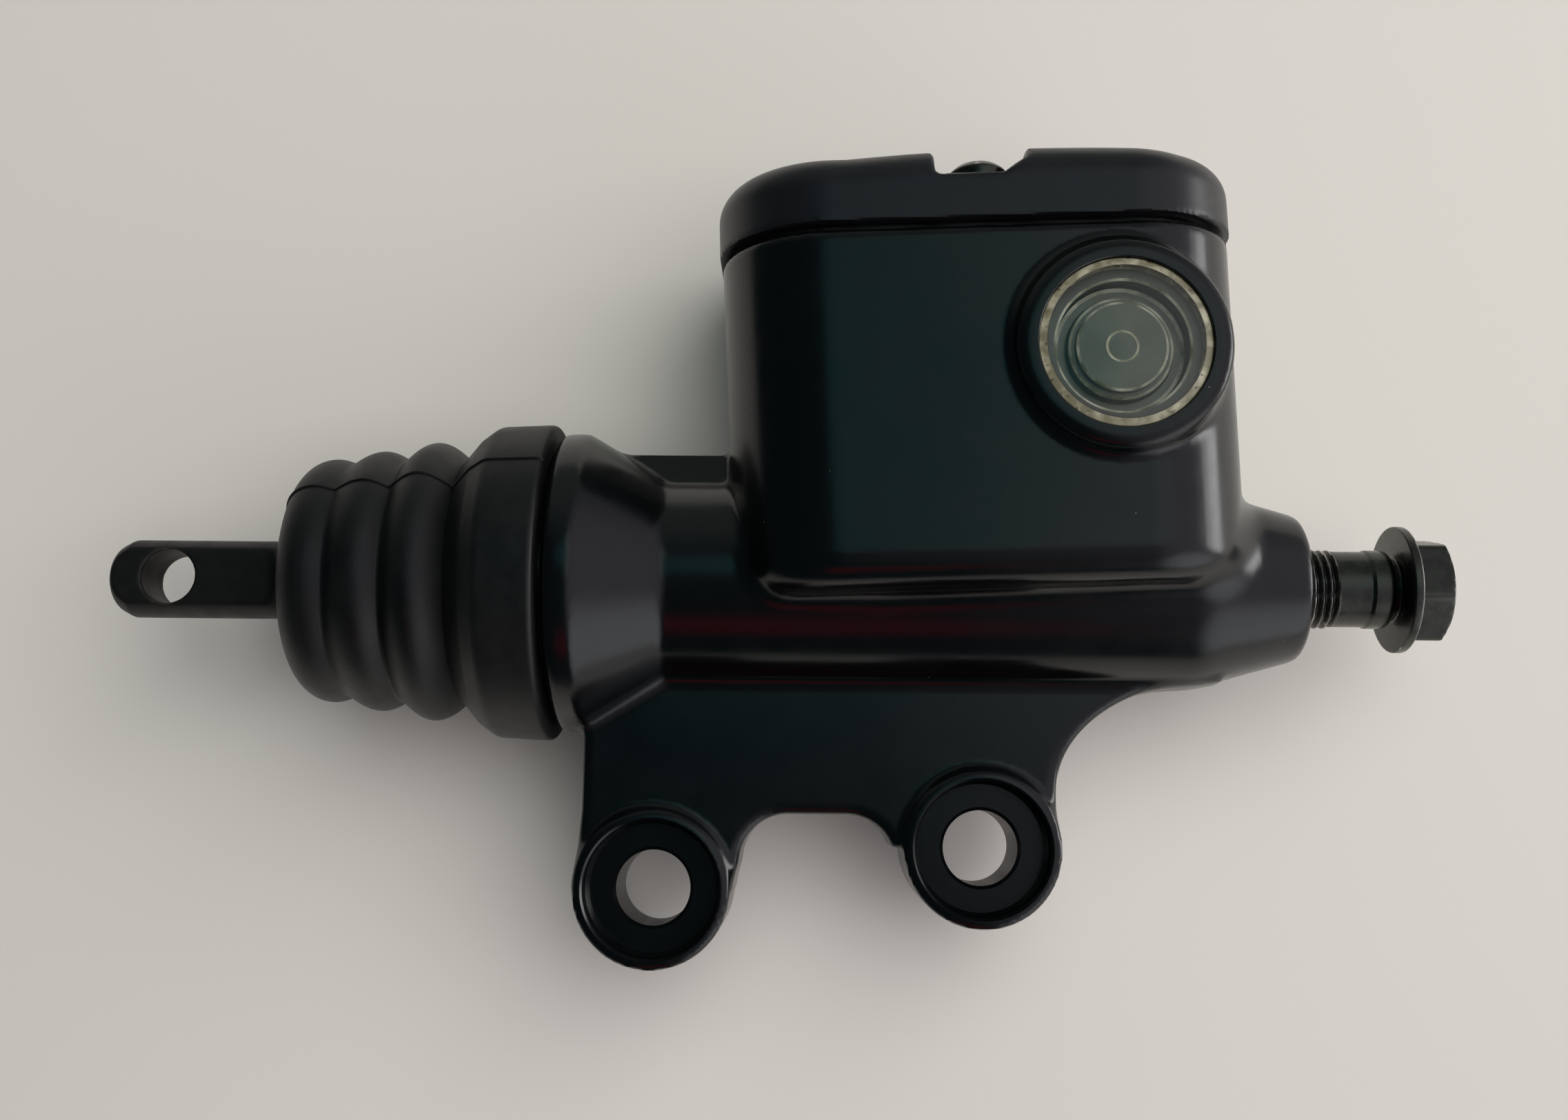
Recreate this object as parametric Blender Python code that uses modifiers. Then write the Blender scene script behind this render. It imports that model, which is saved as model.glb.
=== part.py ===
"""Rear brake master cylinder with a cast-in reservoir, lying on its back.

The bore runs along x from the push rod to the outlet bolt, the reservoir rises
along y, and the sight glass and the mounting ears face z.
"""
import math

import bmesh
import bpy
from mathutils import Matrix, Vector

MM = 0.001

# Fits and facets
GAP = 0.3 * MM
OVERCUT = 1.0 * MM
SEAM = 0.005 * MM
FLAT_ANGLE = math.radians(0.5)
ROUND_STEPS = 36
SMALL_STEPS = 24
TINY_STEPS = 12
CORNER_STEPS = 6
RIM_STEPS = 4
BALL_STEPS = 8

# Cast barrel, with x counted from the middle of the bore
COLLAR_X = -31.0 * MM
COLLAR_R = 18.9 * MM
COLLAR_WIDTH = 2.8 * MM
CONE_LENGTH = 9.5 * MM
BARREL_R = 12.9 * MM
BODY_END_X = 61.5 * MM
END_TAPER_LENGTH = 14.5 * MM
END_R = 9.4 * MM
END_ROUND = 0.9 * MM
SPIGOT_LENGTH = 7.0 * MM
SPIGOT_WALL = 6.0 * MM

# Bore, its stop shoulder and the outlet thread
BORE_R = 7.95 * MM
STOP_DEPTH = 8.2 * MM
COUNTERBORE_STEP = 2.55 * MM
MOUTH_FLARE = 2.5 * MM
THREAD_R = 5.0 * MM
THREAD_DEPTH = 14.5 * MM
OUTLET_WALL = 2.0 * MM
OUTLET_R = 2.0 * MM
INLET_PORT_R = 1.8 * MM
BLEED_PORT_R = 0.5 * MM
BLEED_PORT_LEAD = 1.2 * MM

# Reservoir, turned a little about z so that it stands level when mounted
RES_X = 21.15 * MM
RES_SETBACK = 0.5 * MM
RES_TILT = math.radians(2.2)
RES_WIDTH = 63.0 * MM
RES_DEPTH = 40.0 * MM
RES_CORNER_R = 13.5 * MM
RES_WALL = 3.5 * MM
RES_BOTTOM = -2.0 * MM
RES_BOTTOM_ROUND = 4.0 * MM
RES_FLOOR = 8.0 * MM
RES_RIM = 40.0 * MM

# Cover, its rubber gasket and the two screws
COVER_OVERHANG = 0.6 * MM
COVER_HEIGHT = 8.9 * MM
COVER_ROUND = 3.4 * MM
COVER_HOLLOW_DEPTH = 4.5 * MM
COVER_SIDE_WALL = 3.5 * MM
COVER_SCREW_LAND = 10.5 * MM
COVER_HOLLOW_CORNER_R = 6.9 * MM
GASKET_T = 1.0 * MM
GASKET_INSET = 1.2 * MM
PAN_DEPTH = 6.0 * MM
PAN_WALL = 1.2 * MM
PAN_INSET = 8.0 * MM
POCKET_R = 5.6 * MM
POCKET_DEPTH = 2.2 * MM
SCREW_R = 2.0 * MM
SCREW_LENGTH = 14.0 * MM
SCREW_HEAD_R = 3.5 * MM
SCREW_HEAD_FACE_R = 2.45 * MM
SCREW_HEAD_H = 1.8 * MM
SCREW_TIP_CHAMFER = 0.8 * MM
SCREW_BOSS_WALL = 1.9 * MM
SCREW_BOSS_SETBACK = 0.1 * MM

# Sight glass in the reservoir's front wall
GLASS_SIDE = 15.5 * MM
GLASS_UP = 25.45 * MM
GLASS_R = 10.1 * MM
GLASS_CHAMFER = 0.8 * MM
GLASS_DISC_T = 2.9 * MM
GLASS_HUB_R = 7.6 * MM
GLASS_HUB_LENGTH = 4.5 * MM
GLASS_CUP_R = 5.7 * MM
GLASS_WINDOW_T = 3.7 * MM
GLASS_BOSS_WALL = 2.35 * MM
GLASS_BOSS_PROUD = 2.0 * MM
GLASS_BOSS_LENGTH = 8.5 * MM
ORING_R = 0.6 * MM
ORING_STEPS = 8

# Mounting web and its two ears
WEB_FRONT = 4.0 * MM
WEB_BACK = -10.0 * MM
WEB_ROUND = 1.0 * MM
WEB_ROUND_STEPS = 2
WEB_LEFT_X = -28.6 * MM
SPINE_TOP = 16.7 * MM
SPINE_BITE = 1.2 * MM
EAR_LEFT = (-19.8 * MM, -37.95 * MM)
EAR_RIGHT = (20.5 * MM, -32.7 * MM)
EAR_WALL = 5.0 * MM
EAR_PROUD = 1.0 * MM
EAR_ROUND = 0.6 * MM
EAR_HOLE_R = 4.6 * MM
EAR_SEAT_R = 8.3 * MM
EAR_SEAT_DEPTH = 3.7 * MM
ARCH_TOP = -28.8 * MM
ARCH_CORNER_R = 6.0 * MM
ARCH_RIGHT_START = 20.0
SWEEP_WIDTH = 20.2 * MM
SWEEP_HEIGHT = 14.0 * MM
SWEEP_STEPS = 8

# Stop washer and snap ring behind the piston
WASHER_T = 1.5 * MM
WASHER_HOLE_R = 5.6 * MM
RING_T = 1.0 * MM
RING_BITE = 0.8 * MM
RING_WIDTH = 1.6 * MM
RING_LUG = 3.7 * MM
RING_LUG_HOLE_R = 0.7 * MM
RING_GAP_ANGLE = 18.0
RING_LUG_ANGLE = 14.0
RING_STEPS = 40
RING_LUG_STEPS = 3

# Piston, its cups, spring seat and spring
SKIRT_LENGTH = 12.8 * MM
CUP_GROOVE = 3.5 * MM
CUP_GROOVE_DEPTH = 2.65 * MM
GUIDE_LAND = 2.0 * MM
WAIST_LENGTH = 10.0 * MM
WAIST_DEPTH = 2.15 * MM
FRONT_LAND = 3.5 * MM
PILOT_R = 3.0 * MM
PILOT_LENGTH = 3.5 * MM
CUP_BASE = 1.7 * MM
CUP_LIP_LENGTH = 3.0 * MM
CUP_LIP_T = 1.05 * MM
SEAT_T = 1.0 * MM
SEAT_TUBE_WALL = 0.6 * MM
SEAT_TUBE_LENGTH = 2.7 * MM
WIRE_R = 0.65 * MM
SPRING_TURNS = 8.5
SPRING_POINTS_A_TURN = 10

# Push rod with its ball, flats and eye
ROD_R = 5.0 * MM
ROD_LENGTH = 66.2 * MM
ROD_NOSE_R = 5.5 * MM
ROD_NECK_R = 3.9 * MM
ROD_NECK_LENGTH = 23.0 * MM
ROD_NECK_TAPER = 2.2 * MM
BALL_R = 5.0 * MM
BALL_DEPTH = 5.8 * MM
FLAT_LENGTH = 22.2 * MM
FLAT_THICKNESS = 7.2 * MM
FLAT_RUNOUT_R = 2.0 * MM
EYE_R = 3.35 * MM
EYE_FROM_END = 8.4 * MM

# Rubber boot over the push rod
BOOT_LENGTH = 34.0 * MM
BOOT_WALL = 1.6 * MM
BOOT_LIP_WALL = 3.3 * MM
BOOT_LIP_LENGTH = 6.5 * MM
BOOT_LIP_ROUND = 0.6 * MM
BOOT_FLARE_LENGTH = 6.6 * MM
BOOT_END_FLAT_R = 9.5 * MM
RIB_COUNT = 3
RIB_PITCH = 6.5 * MM
RIB_DEPTH = 1.5 * MM
RIB_GROWTH = 1.1 * MM
RIB_STEPS = 3
FIRST_RIB_R = 15.5 * MM
FIRST_RIB_FROM_END = 4.3 * MM

# Outlet bolt, screwed in by hand with its shank showing
BOLT_SHANK_R = 4.7 * MM
BOLT_SHOW = 11.8 * MM
BOLT_THREAD_SHOW = 3.8 * MM
BOLT_NECK_LENGTH = 2.8 * MM
BOLT_NECK_R = 4.95 * MM
BOLT_TIP_CLEAR = 1.3 * MM
BOLT_TIP_CHAMFER = 0.8 * MM
FLANGE_R = 8.0 * MM
FLANGE_T = 1.2 * MM
HEX_SIDES = 6
HEX_FLATS = 12.0 * MM
HEX_H = 4.2 * MM
HEX_CHAMFER = 0.5 * MM
HEX_TURN = 4.0
BOLT_BORE_R = 2.0 * MM
BOLT_CROSS_R = 1.75 * MM
BOLT_CROSS_FROM_THREAD = 2.7 * MM

# Places along the bore that several pieces share
MOUTH_X = COLLAR_X - SPIGOT_LENGTH
STOP_X = MOUTH_X + STOP_DEPTH
COUNTERBORE_R = BORE_R + COUNTERBORE_STEP
SPIGOT_R = COUNTERBORE_R + SPIGOT_WALL
WASHER_X = STOP_X - GAP - WASHER_T
RING_X = WASHER_X - 2 * GAP - RING_T
RING_GROOVE_R = COUNTERBORE_R + RING_BITE + GAP
BORE_END_X = BODY_END_X - THREAD_DEPTH - OUTLET_WALL
BALL_X = STOP_X + BALL_DEPTH
PISTON_R = BORE_R - GAP
REAR_GROOVE_X = STOP_X + SKIRT_LENGTH
WAIST_X = REAR_GROOVE_X + CUP_GROOVE + GUIDE_LAND
FRONT_LAND_X = WAIST_X + WAIST_LENGTH
PISTON_FACE_X = FRONT_LAND_X + FRONT_LAND
CUP_X = PISTON_FACE_X + GAP
SEAT_X = CUP_X + CUP_BASE + GAP
SPRING_START_X = SEAT_X + SEAT_T + GAP + WIRE_R
SPRING_END_X = BORE_END_X - GAP - WIRE_R
SEAT_TUBE_R = PILOT_R + GAP + SEAT_TUBE_WALL
SPRING_R = SEAT_TUBE_R + GAP + WIRE_R
EAR_R = EAR_HOLE_R + EAR_WALL
EAR_FACE = WEB_FRONT + EAR_PROUD

# Places in the reservoir's own frame that several pieces share
RES_HALF = RES_DEPTH / 2
GASKET_BOTTOM = RES_RIM + GAP
COVER_BOTTOM = GASKET_BOTTOM + GASKET_T + GAP
COVER_TOP = COVER_BOTTOM + COVER_HEIGHT
COVER_WIDTH = RES_WIDTH + 2 * COVER_OVERHANG
COVER_DEPTH = RES_DEPTH + 2 * COVER_OVERHANG
SCREW_OUT = COVER_DEPTH / 2 - POCKET_R
SCREW_HOLE_R = SCREW_R + GAP
SCREW_SEAT = COVER_TOP - POCKET_DEPTH + GAP
GLASS_BOSS_FRONT = RES_HALF + GLASS_BOSS_PROUD
GLASS_FACE = GLASS_BOSS_FRONT - GAP
GLASS_DISC_BACK = GLASS_FACE - GLASS_DISC_T
GLASS_SHELF = GLASS_DISC_BACK - 2 * GAP - 2 * ORING_R
GLASS_HUB_BACK = GLASS_DISC_BACK - GLASS_HUB_LENGTH

for stale in list(bpy.data.objects):
    bpy.data.objects.remove(stale, do_unlink=True)

parts = bpy.data.collections.new("brake_master_cylinder")
cutters = bpy.data.collections.new("cutters")
for collection in (parts, cutters):
    bpy.context.scene.collection.children.link(collection)

SIDEWAYS = {
    "X": Matrix(((0, 0, 1), (1, 0, 0), (0, 1, 0))).to_4x4(),
    "Y": Matrix(((1, 0, 0), (0, 0, 1), (0, 1, 0))).to_4x4(),
    "Z": Matrix.Identity(4),
}


def empty(name, location=(0, 0, 0), turn=0.0, parent=None):
    frame = bpy.data.objects.new(name, None)
    parts.objects.link(frame)
    frame.parent = parent
    frame.location = location
    frame.rotation_euler = (0, 0, turn)
    return frame


bore_axis = empty("bore_axis")
reservoir_frame = empty("reservoir_frame", (RES_X, 0, -RES_SETBACK), RES_TILT, bore_axis)
rod_ball = empty("rod_ball", (BALL_X, 0, 0), 0.0, bore_axis)


def place(obj, parent, tool):
    """Hang a new object on its frame, as a part or as a cutter."""
    (cutters if tool else parts).objects.link(obj)
    obj.parent = parent
    if tool:
        obj.hide_render = True
        obj.display_type = "WIRE"
    return obj


def finish(obj, colour, roughness, metallic=0.0, transmission=0.0):
    """Give a part a material of its own."""
    material = bpy.data.materials.new(obj.name)
    material.use_nodes = True
    shader = material.node_tree.nodes["Principled BSDF"]
    shader.inputs["Base Color"].default_value = (*colour, 1)
    shader.inputs["Roughness"].default_value = roughness
    shader.inputs["Metallic"].default_value = metallic
    shader.inputs["Transmission Weight"].default_value = transmission
    obj.data.materials.append(material)
    return obj


def arc(center, radius, start, end, steps):
    """Points along an arc from start to end in degrees; a pair of radii makes it an ellipse."""
    across, up = radius if isinstance(radius, tuple) else (radius, radius)
    points = []
    for i in range(steps + 1):
        angle = math.radians(start + (end - start) * i / steps)
        points.append((center[0] + across * math.cos(angle), center[1] + up * math.sin(angle)))
    return points


def circle(center, radius, steps):
    return arc(center, radius, 0, 360, steps)[:-1]


def rounded_rectangle(width, depth, corner_r):
    points = []
    for side, way, start in ((1, 1, 0), (-1, 1, 90), (-1, -1, 180), (1, -1, 270)):
        center = (side * (width / 2 - corner_r), way * (depth / 2 - corner_r))
        points += arc(center, corner_r, start, start + 90, CORNER_STEPS)
    return points


def turned(name, profile, axis="X", parent=bore_axis, steps=ROUND_STEPS, at=(0, 0, 0), tool=False):
    """Turn a profile of (along, radius) pairs, listed down its outer side, about an axis."""
    mesh = bpy.data.meshes.new(name)
    bm = bmesh.new()
    points = [bm.verts.new((radius, 0, along)) for along, radius in profile]
    for a, b in zip(points, points[1:]):
        bm.edges.new((a, b))
    if profile[0][1] > 0:
        bm.edges.new((points[-1], points[0]))
    bm.to_mesh(mesh)
    bm.free()
    obj = place(bpy.data.objects.new(name, mesh), parent, tool)
    obj.location = at
    obj.rotation_euler = {"X": (0, math.pi / 2, 0), "Y": (-math.pi / 2, 0, 0), "Z": (0, 0, 0)}[axis]
    screw = obj.modifiers.new("turn", "SCREW")
    screw.axis = "Z"
    screw.steps = steps
    screw.render_steps = steps
    screw.use_merge_vertices = True
    screw.merge_threshold = SEAM
    return obj


def plate(name, outlines, low, high, axis="Z", parent=bore_axis, tool=False):
    """Extrude flat outlines between two heights along an axis; an inner outline is a hole."""
    curve = bpy.data.curves.new(name, "CURVE")
    curve.dimensions = "2D"
    curve.fill_mode = "BOTH"
    curve.extrude = (high - low) / 2
    for outline in outlines:
        spline = curve.splines.new("POLY")
        spline.points.add(len(outline) - 1)
        for point, (x, y) in zip(spline.points, outline):
            point.co = (x, y, 0, 1)
        spline.use_cyclic_u = True
    flat = bpy.data.objects.new(name + "_outline", curve)
    cutters.objects.link(flat)
    depsgraph = bpy.context.evaluated_depsgraph_get()
    mesh = bpy.data.meshes.new_from_object(flat.evaluated_get(depsgraph))
    bpy.data.objects.remove(flat, do_unlink=True)
    bm = bmesh.new()
    bm.from_mesh(mesh)
    bmesh.ops.remove_doubles(bm, verts=bm.verts, dist=SEAM)
    bmesh.ops.dissolve_limit(bm, angle_limit=FLAT_ANGLE, verts=bm.verts, edges=bm.edges)
    bm.transform(SIDEWAYS[axis] @ Matrix.Translation((0, 0, (low + high) / 2)))
    bmesh.ops.recalc_face_normals(bm, faces=bm.faces)
    if bm.calc_volume(signed=True) < 0:
        bmesh.ops.reverse_faces(bm, faces=bm.faces)
    bm.to_mesh(mesh)
    bm.free()
    return place(bpy.data.objects.new(name, mesh), parent, tool)


def round_rim(obj, axis, height, radius, steps):
    """Round the edge that runs round a plate at one height."""
    number = "XYZ".index(axis)
    group = obj.vertex_groups.new(name="rim")
    rim = [v.index for v in obj.data.vertices if abs(v.co[number] - height) < SEAM]
    group.add(rim, 1.0, "REPLACE")
    bevel = obj.modifiers.new("rim", "BEVEL")
    bevel.limit_method = "VGROUP"
    bevel.vertex_group = group.name
    bevel.width = radius
    bevel.segments = steps
    return obj


def combine(obj, operation, *tools):
    """Join or cut with all the tools in one pass, then weld the seams."""
    group = bpy.data.collections.new(obj.name + "_" + operation.lower())
    cutters.children.link(group)
    for tool in tools:
        cutters.objects.unlink(tool)
        group.objects.link(tool)
    boolean = obj.modifiers.new(operation.lower(), "BOOLEAN")
    boolean.operation = operation
    boolean.operand_type = "COLLECTION"
    boolean.collection = group
    weld = obj.modifiers.new("seams", "WELD")
    weld.merge_threshold = SEAM
    return obj


def web_outline():
    """The cast web: spine, outlet sweep, right ear, arch, left ear and boot edge."""
    spine_end = RES_X - RES_WIDTH / 2 + SPINE_BITE
    spine = [(COLLAR_X + COLLAR_WIDTH, SPINE_TOP), (spine_end, SPINE_TOP)]
    sweep_end = EAR_RIGHT[0] + EAR_R - WEB_ROUND / 2 + SWEEP_WIDTH
    sweep_low = -BARREL_R + WEB_ROUND - SWEEP_HEIGHT
    spine += [(spine_end, 0), (sweep_end, 0)]
    sweep = arc((sweep_end, sweep_low), (SWEEP_WIDTH, SWEEP_HEIGHT), 90, 180, SWEEP_STEPS)
    right_ear = [(EAR_RIGHT[0] + EAR_R - WEB_ROUND / 2, EAR_RIGHT[1]), EAR_RIGHT]
    arch_right = EAR_RIGHT[0] - EAR_R - WEB_ROUND
    arch_left = EAR_LEFT[0] + EAR_R + WEB_ROUND
    corner_y = ARCH_TOP - ARCH_CORNER_R
    arch = [(arch_right + WEB_ROUND, EAR_RIGHT[1])]
    arch += arc((arch_right - ARCH_CORNER_R, corner_y), ARCH_CORNER_R, ARCH_RIGHT_START, 90, CORNER_STEPS)
    arch += arc((arch_left + ARCH_CORNER_R, corner_y), ARCH_CORNER_R, 90, 180, CORNER_STEPS)
    left_ear = [(EAR_LEFT[0] + EAR_R, EAR_LEFT[1]), EAR_LEFT, (EAR_LEFT[0] - EAR_R, EAR_LEFT[1])]
    boot_edge = [(WEB_LEFT_X, EAR_LEFT[1] + EAR_R), (WEB_LEFT_X, 0)]
    return spine + sweep + right_ear + arch + left_ear + boot_edge


def housing():
    rim = BODY_END_X - END_ROUND
    body = turned("housing", [
        (BODY_END_X, 0), (BODY_END_X, END_R - END_ROUND), (rim, END_R),
        (BODY_END_X - END_TAPER_LENGTH, BARREL_R),
        (COLLAR_X + COLLAR_WIDTH + CONE_LENGTH, BARREL_R), (COLLAR_X + COLLAR_WIDTH, COLLAR_R),
        (COLLAR_X, COLLAR_R), (COLLAR_X, SPIGOT_R), (MOUTH_X, SPIGOT_R), (MOUTH_X, 0)])

    shell_outline = rounded_rectangle(RES_WIDTH, RES_DEPTH, RES_CORNER_R)
    shell = plate("reservoir_shell", [shell_outline], RES_BOTTOM, RES_RIM, "Y", reservoir_frame, True)
    round_rim(shell, "Y", RES_BOTTOM, RES_BOTTOM_ROUND, RIM_STEPS)
    inner = rounded_rectangle(RES_WIDTH - 2 * RES_WALL, RES_DEPTH - 2 * RES_WALL, RES_CORNER_R - RES_WALL)
    cavity = plate("cavity", [inner], RES_FLOOR, RES_RIM + OVERCUT, "Y", reservoir_frame, True)
    combine(shell, "DIFFERENCE", cavity)

    screw_boss_r = SCREW_HOLE_R + SCREW_BOSS_WALL
    boss_top = RES_RIM - SCREW_BOSS_SETBACK
    boss_foot = RES_FLOOR - OVERCUT
    bosses = []
    for side in (1, -1):
        boss = [(boss_top, 0), (boss_top, screw_boss_r), (boss_foot, screw_boss_r), (boss_foot, 0)]
        bosses.append(turned("screw_boss", boss, "Y", reservoir_frame, SMALL_STEPS,
                             (0, 0, side * SCREW_OUT), True))
    glass_boss_r = GLASS_R + GAP + GLASS_BOSS_WALL
    glass_back = GLASS_BOSS_FRONT - GLASS_BOSS_LENGTH
    bosses.append(turned("glass_boss", [
        (GLASS_BOSS_FRONT, 0), (GLASS_BOSS_FRONT, glass_boss_r - END_ROUND),
        (GLASS_BOSS_FRONT - END_ROUND, glass_boss_r), (glass_back, glass_boss_r), (glass_back, 0)],
        "Z", reservoir_frame, ROUND_STEPS, (GLASS_SIDE, GLASS_UP, 0), True))

    web = plate("web", [web_outline()], WEB_BACK, WEB_FRONT, tool=True)
    round_rim(web, "Z", WEB_FRONT, WEB_ROUND, WEB_ROUND_STEPS)
    ears = []
    ear_holes = []
    for name, (x, y) in (("left", EAR_LEFT), ("right", EAR_RIGHT)):
        ears.append(turned("ear_" + name, [
            (EAR_FACE, 0), (EAR_FACE, EAR_R - EAR_ROUND), (EAR_FACE - EAR_ROUND, EAR_R),
            (WEB_BACK, EAR_R), (WEB_BACK, 0)], "Z", at=(x, y, 0), tool=True))
        seat = EAR_FACE - EAR_SEAT_DEPTH
        top = EAR_FACE + OVERCUT
        below = WEB_BACK - OVERCUT
        ear_holes.append(turned("ear_hole_" + name, [
            (top, 0), (top, EAR_SEAT_R), (seat, EAR_SEAT_R), (seat, EAR_HOLE_R),
            (below, EAR_HOLE_R), (below, 0)], "Z", at=(x, y, 0), tool=True))

    mouth = MOUTH_X - OVERCUT
    flare_r = COUNTERBORE_R + MOUTH_FLARE
    groove_front = WASHER_X - GAP
    groove_back = RING_X - GAP
    bore = turned("bore", [
        (BODY_END_X + OVERCUT, 0), (BODY_END_X + OVERCUT, THREAD_R + GAP),
        (BODY_END_X - THREAD_DEPTH, THREAD_R + GAP), (BODY_END_X - THREAD_DEPTH, OUTLET_R),
        (BORE_END_X, OUTLET_R), (BORE_END_X, BORE_R), (STOP_X, BORE_R), (STOP_X, COUNTERBORE_R),
        (groove_front, COUNTERBORE_R), (groove_front, RING_GROOVE_R),
        (groove_back, RING_GROOVE_R), (groove_back, COUNTERBORE_R),
        (groove_back - OVERCUT, COUNTERBORE_R), (mouth, flare_r), (mouth, 0)], tool=True)

    glass_hole = turned("glass_hole", [
        (GLASS_BOSS_FRONT + OVERCUT, 0), (GLASS_BOSS_FRONT + OVERCUT, GLASS_R + GAP),
        (GLASS_SHELF, GLASS_R + GAP), (GLASS_SHELF, GLASS_HUB_R + GAP),
        (glass_back - OVERCUT, GLASS_HUB_R + GAP), (glass_back - OVERCUT, 0)],
        "Z", reservoir_frame, ROUND_STEPS, (GLASS_SIDE, GLASS_UP, 0), True)

    screw_holes = []
    screw_depth = SCREW_SEAT - SCREW_LENGTH - OVERCUT
    for side in (1, -1):
        screw_holes.append(turned("screw_hole", [
            (RES_RIM + OVERCUT, 0), (RES_RIM + OVERCUT, SCREW_HOLE_R), (screw_depth, SCREW_HOLE_R),
            (screw_depth, 0)], "Y", reservoir_frame, TINY_STEPS, (0, 0, side * SCREW_OUT), True))

    ports = []
    inlet_x = FRONT_LAND_X - INLET_PORT_R - GAP
    bleed_x = CUP_X + CUP_BASE + CUP_LIP_LENGTH + BLEED_PORT_LEAD
    for name, x, radius in (("inlet_port", inlet_x, INLET_PORT_R), ("bleed_port", bleed_x, BLEED_PORT_R)):
        ports.append(turned(name, [
            (BARREL_R + OVERCUT, 0), (BARREL_R + OVERCUT, radius), (BORE_R - OVERCUT, radius),
            (BORE_R - OVERCUT, 0)], "Y", steps=TINY_STEPS, at=(x, 0, 0), tool=True))

    combine(body, "UNION", shell, *bosses, web, *ears)
    combine(body, "DIFFERENCE", bore, glass_hole, *ear_holes, *screw_holes, *ports)
    return finish(body, (0.012, 0.013, 0.014), 0.32)


def screw_pocket(name, side):
    """The recess for a screw head: a slot with a round inner end, open at the cover's edge."""
    out = COVER_DEPTH / 2 + OVERCUT
    slot = [(POCKET_R, side * out), (-POCKET_R, side * out)]
    slot += arc((0, side * SCREW_OUT), POCKET_R, 180, 180 + side * 180, TINY_STEPS)
    low = COVER_TOP - POCKET_DEPTH
    return plate(name, [slot], low, COVER_TOP + OVERCUT, "Y", reservoir_frame, True)


def cover():
    outline = rounded_rectangle(COVER_WIDTH, COVER_DEPTH, RES_CORNER_R + COVER_OVERHANG)
    lid = plate("reservoir_cover", [outline], COVER_BOTTOM, COVER_TOP, "Y", reservoir_frame)
    round_rim(lid, "Y", COVER_TOP, COVER_ROUND, RIM_STEPS)
    width = COVER_WIDTH - 2 * COVER_SIDE_WALL
    depth = COVER_DEPTH - 2 * COVER_SCREW_LAND
    hollow_outline = rounded_rectangle(width, depth, COVER_HOLLOW_CORNER_R)
    hollow = plate("cover_hollow", [hollow_outline], COVER_BOTTOM - OVERCUT,
                   COVER_BOTTOM + COVER_HOLLOW_DEPTH, "Y", reservoir_frame, True)
    cuts = [hollow]
    for name, side in (("front", 1), ("rear", -1)):
        cuts.append(screw_pocket("pocket_" + name, side))
        cuts.append(turned("cover_hole_" + name, [
            (COVER_TOP, 0), (COVER_TOP, SCREW_HOLE_R), (COVER_BOTTOM - OVERCUT, SCREW_HOLE_R),
            (COVER_BOTTOM - OVERCUT, 0)], "Y", reservoir_frame, TINY_STEPS,
            (0, 0, side * SCREW_OUT), True))
    combine(lid, "DIFFERENCE", *cuts)
    return finish(lid, (0.014, 0.014, 0.015), 0.42)


def gasket():
    width = RES_WIDTH - 2 * GASKET_INSET
    depth = RES_DEPTH - 2 * GASKET_INSET
    outlines = [rounded_rectangle(width, depth, RES_CORNER_R - GASKET_INSET)]
    for side in (1, -1):
        outlines.append(circle((0, side * SCREW_OUT), SCREW_HOLE_R, SMALL_STEPS))
    top = GASKET_BOTTOM + GASKET_T
    sheet = plate("reservoir_gasket", outlines, GASKET_BOTTOM, top, "Y", reservoir_frame)
    width = RES_WIDTH - 2 * PAN_INSET
    depth = COVER_DEPTH - 2 * COVER_SCREW_LAND - 2 * GAP
    corner = COVER_HOLLOW_CORNER_R - GAP
    pan = plate("pan", [rounded_rectangle(width, depth, corner)], GASKET_BOTTOM - PAN_DEPTH,
                GASKET_BOTTOM + GASKET_T / 2, "Y", reservoir_frame, True)
    inner = rounded_rectangle(width - 2 * PAN_WALL, depth - 2 * PAN_WALL, corner - PAN_WALL)
    hollow = plate("pan_hollow", [inner], GASKET_BOTTOM - PAN_DEPTH + PAN_WALL,
                   top + OVERCUT, "Y", reservoir_frame, True)
    combine(sheet, "UNION", pan)
    combine(sheet, "DIFFERENCE", hollow)
    return finish(sheet, (0.01, 0.01, 0.01), 0.7)


def cover_screws():
    head_top = SCREW_SEAT + SCREW_HEAD_H
    shoulder = SCREW_SEAT + SCREW_HEAD_H / 2
    tip = SCREW_SEAT - SCREW_LENGTH
    profile = [(head_top, 0), (head_top, SCREW_HEAD_FACE_R), (shoulder, SCREW_HEAD_R),
               (SCREW_SEAT, SCREW_HEAD_R), (SCREW_SEAT, SCREW_R), (tip + SCREW_TIP_CHAMFER, SCREW_R),
               (tip, SCREW_R - SCREW_TIP_CHAMFER), (tip, 0)]
    for name, side in (("front", 1), ("rear", -1)):
        screw = turned("cover_screw_" + name, profile, "Y", reservoir_frame, SMALL_STEPS,
                       (0, 0, side * SCREW_OUT))
        finish(screw, (0.03, 0.03, 0.03), 0.35, 1.0)


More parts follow.
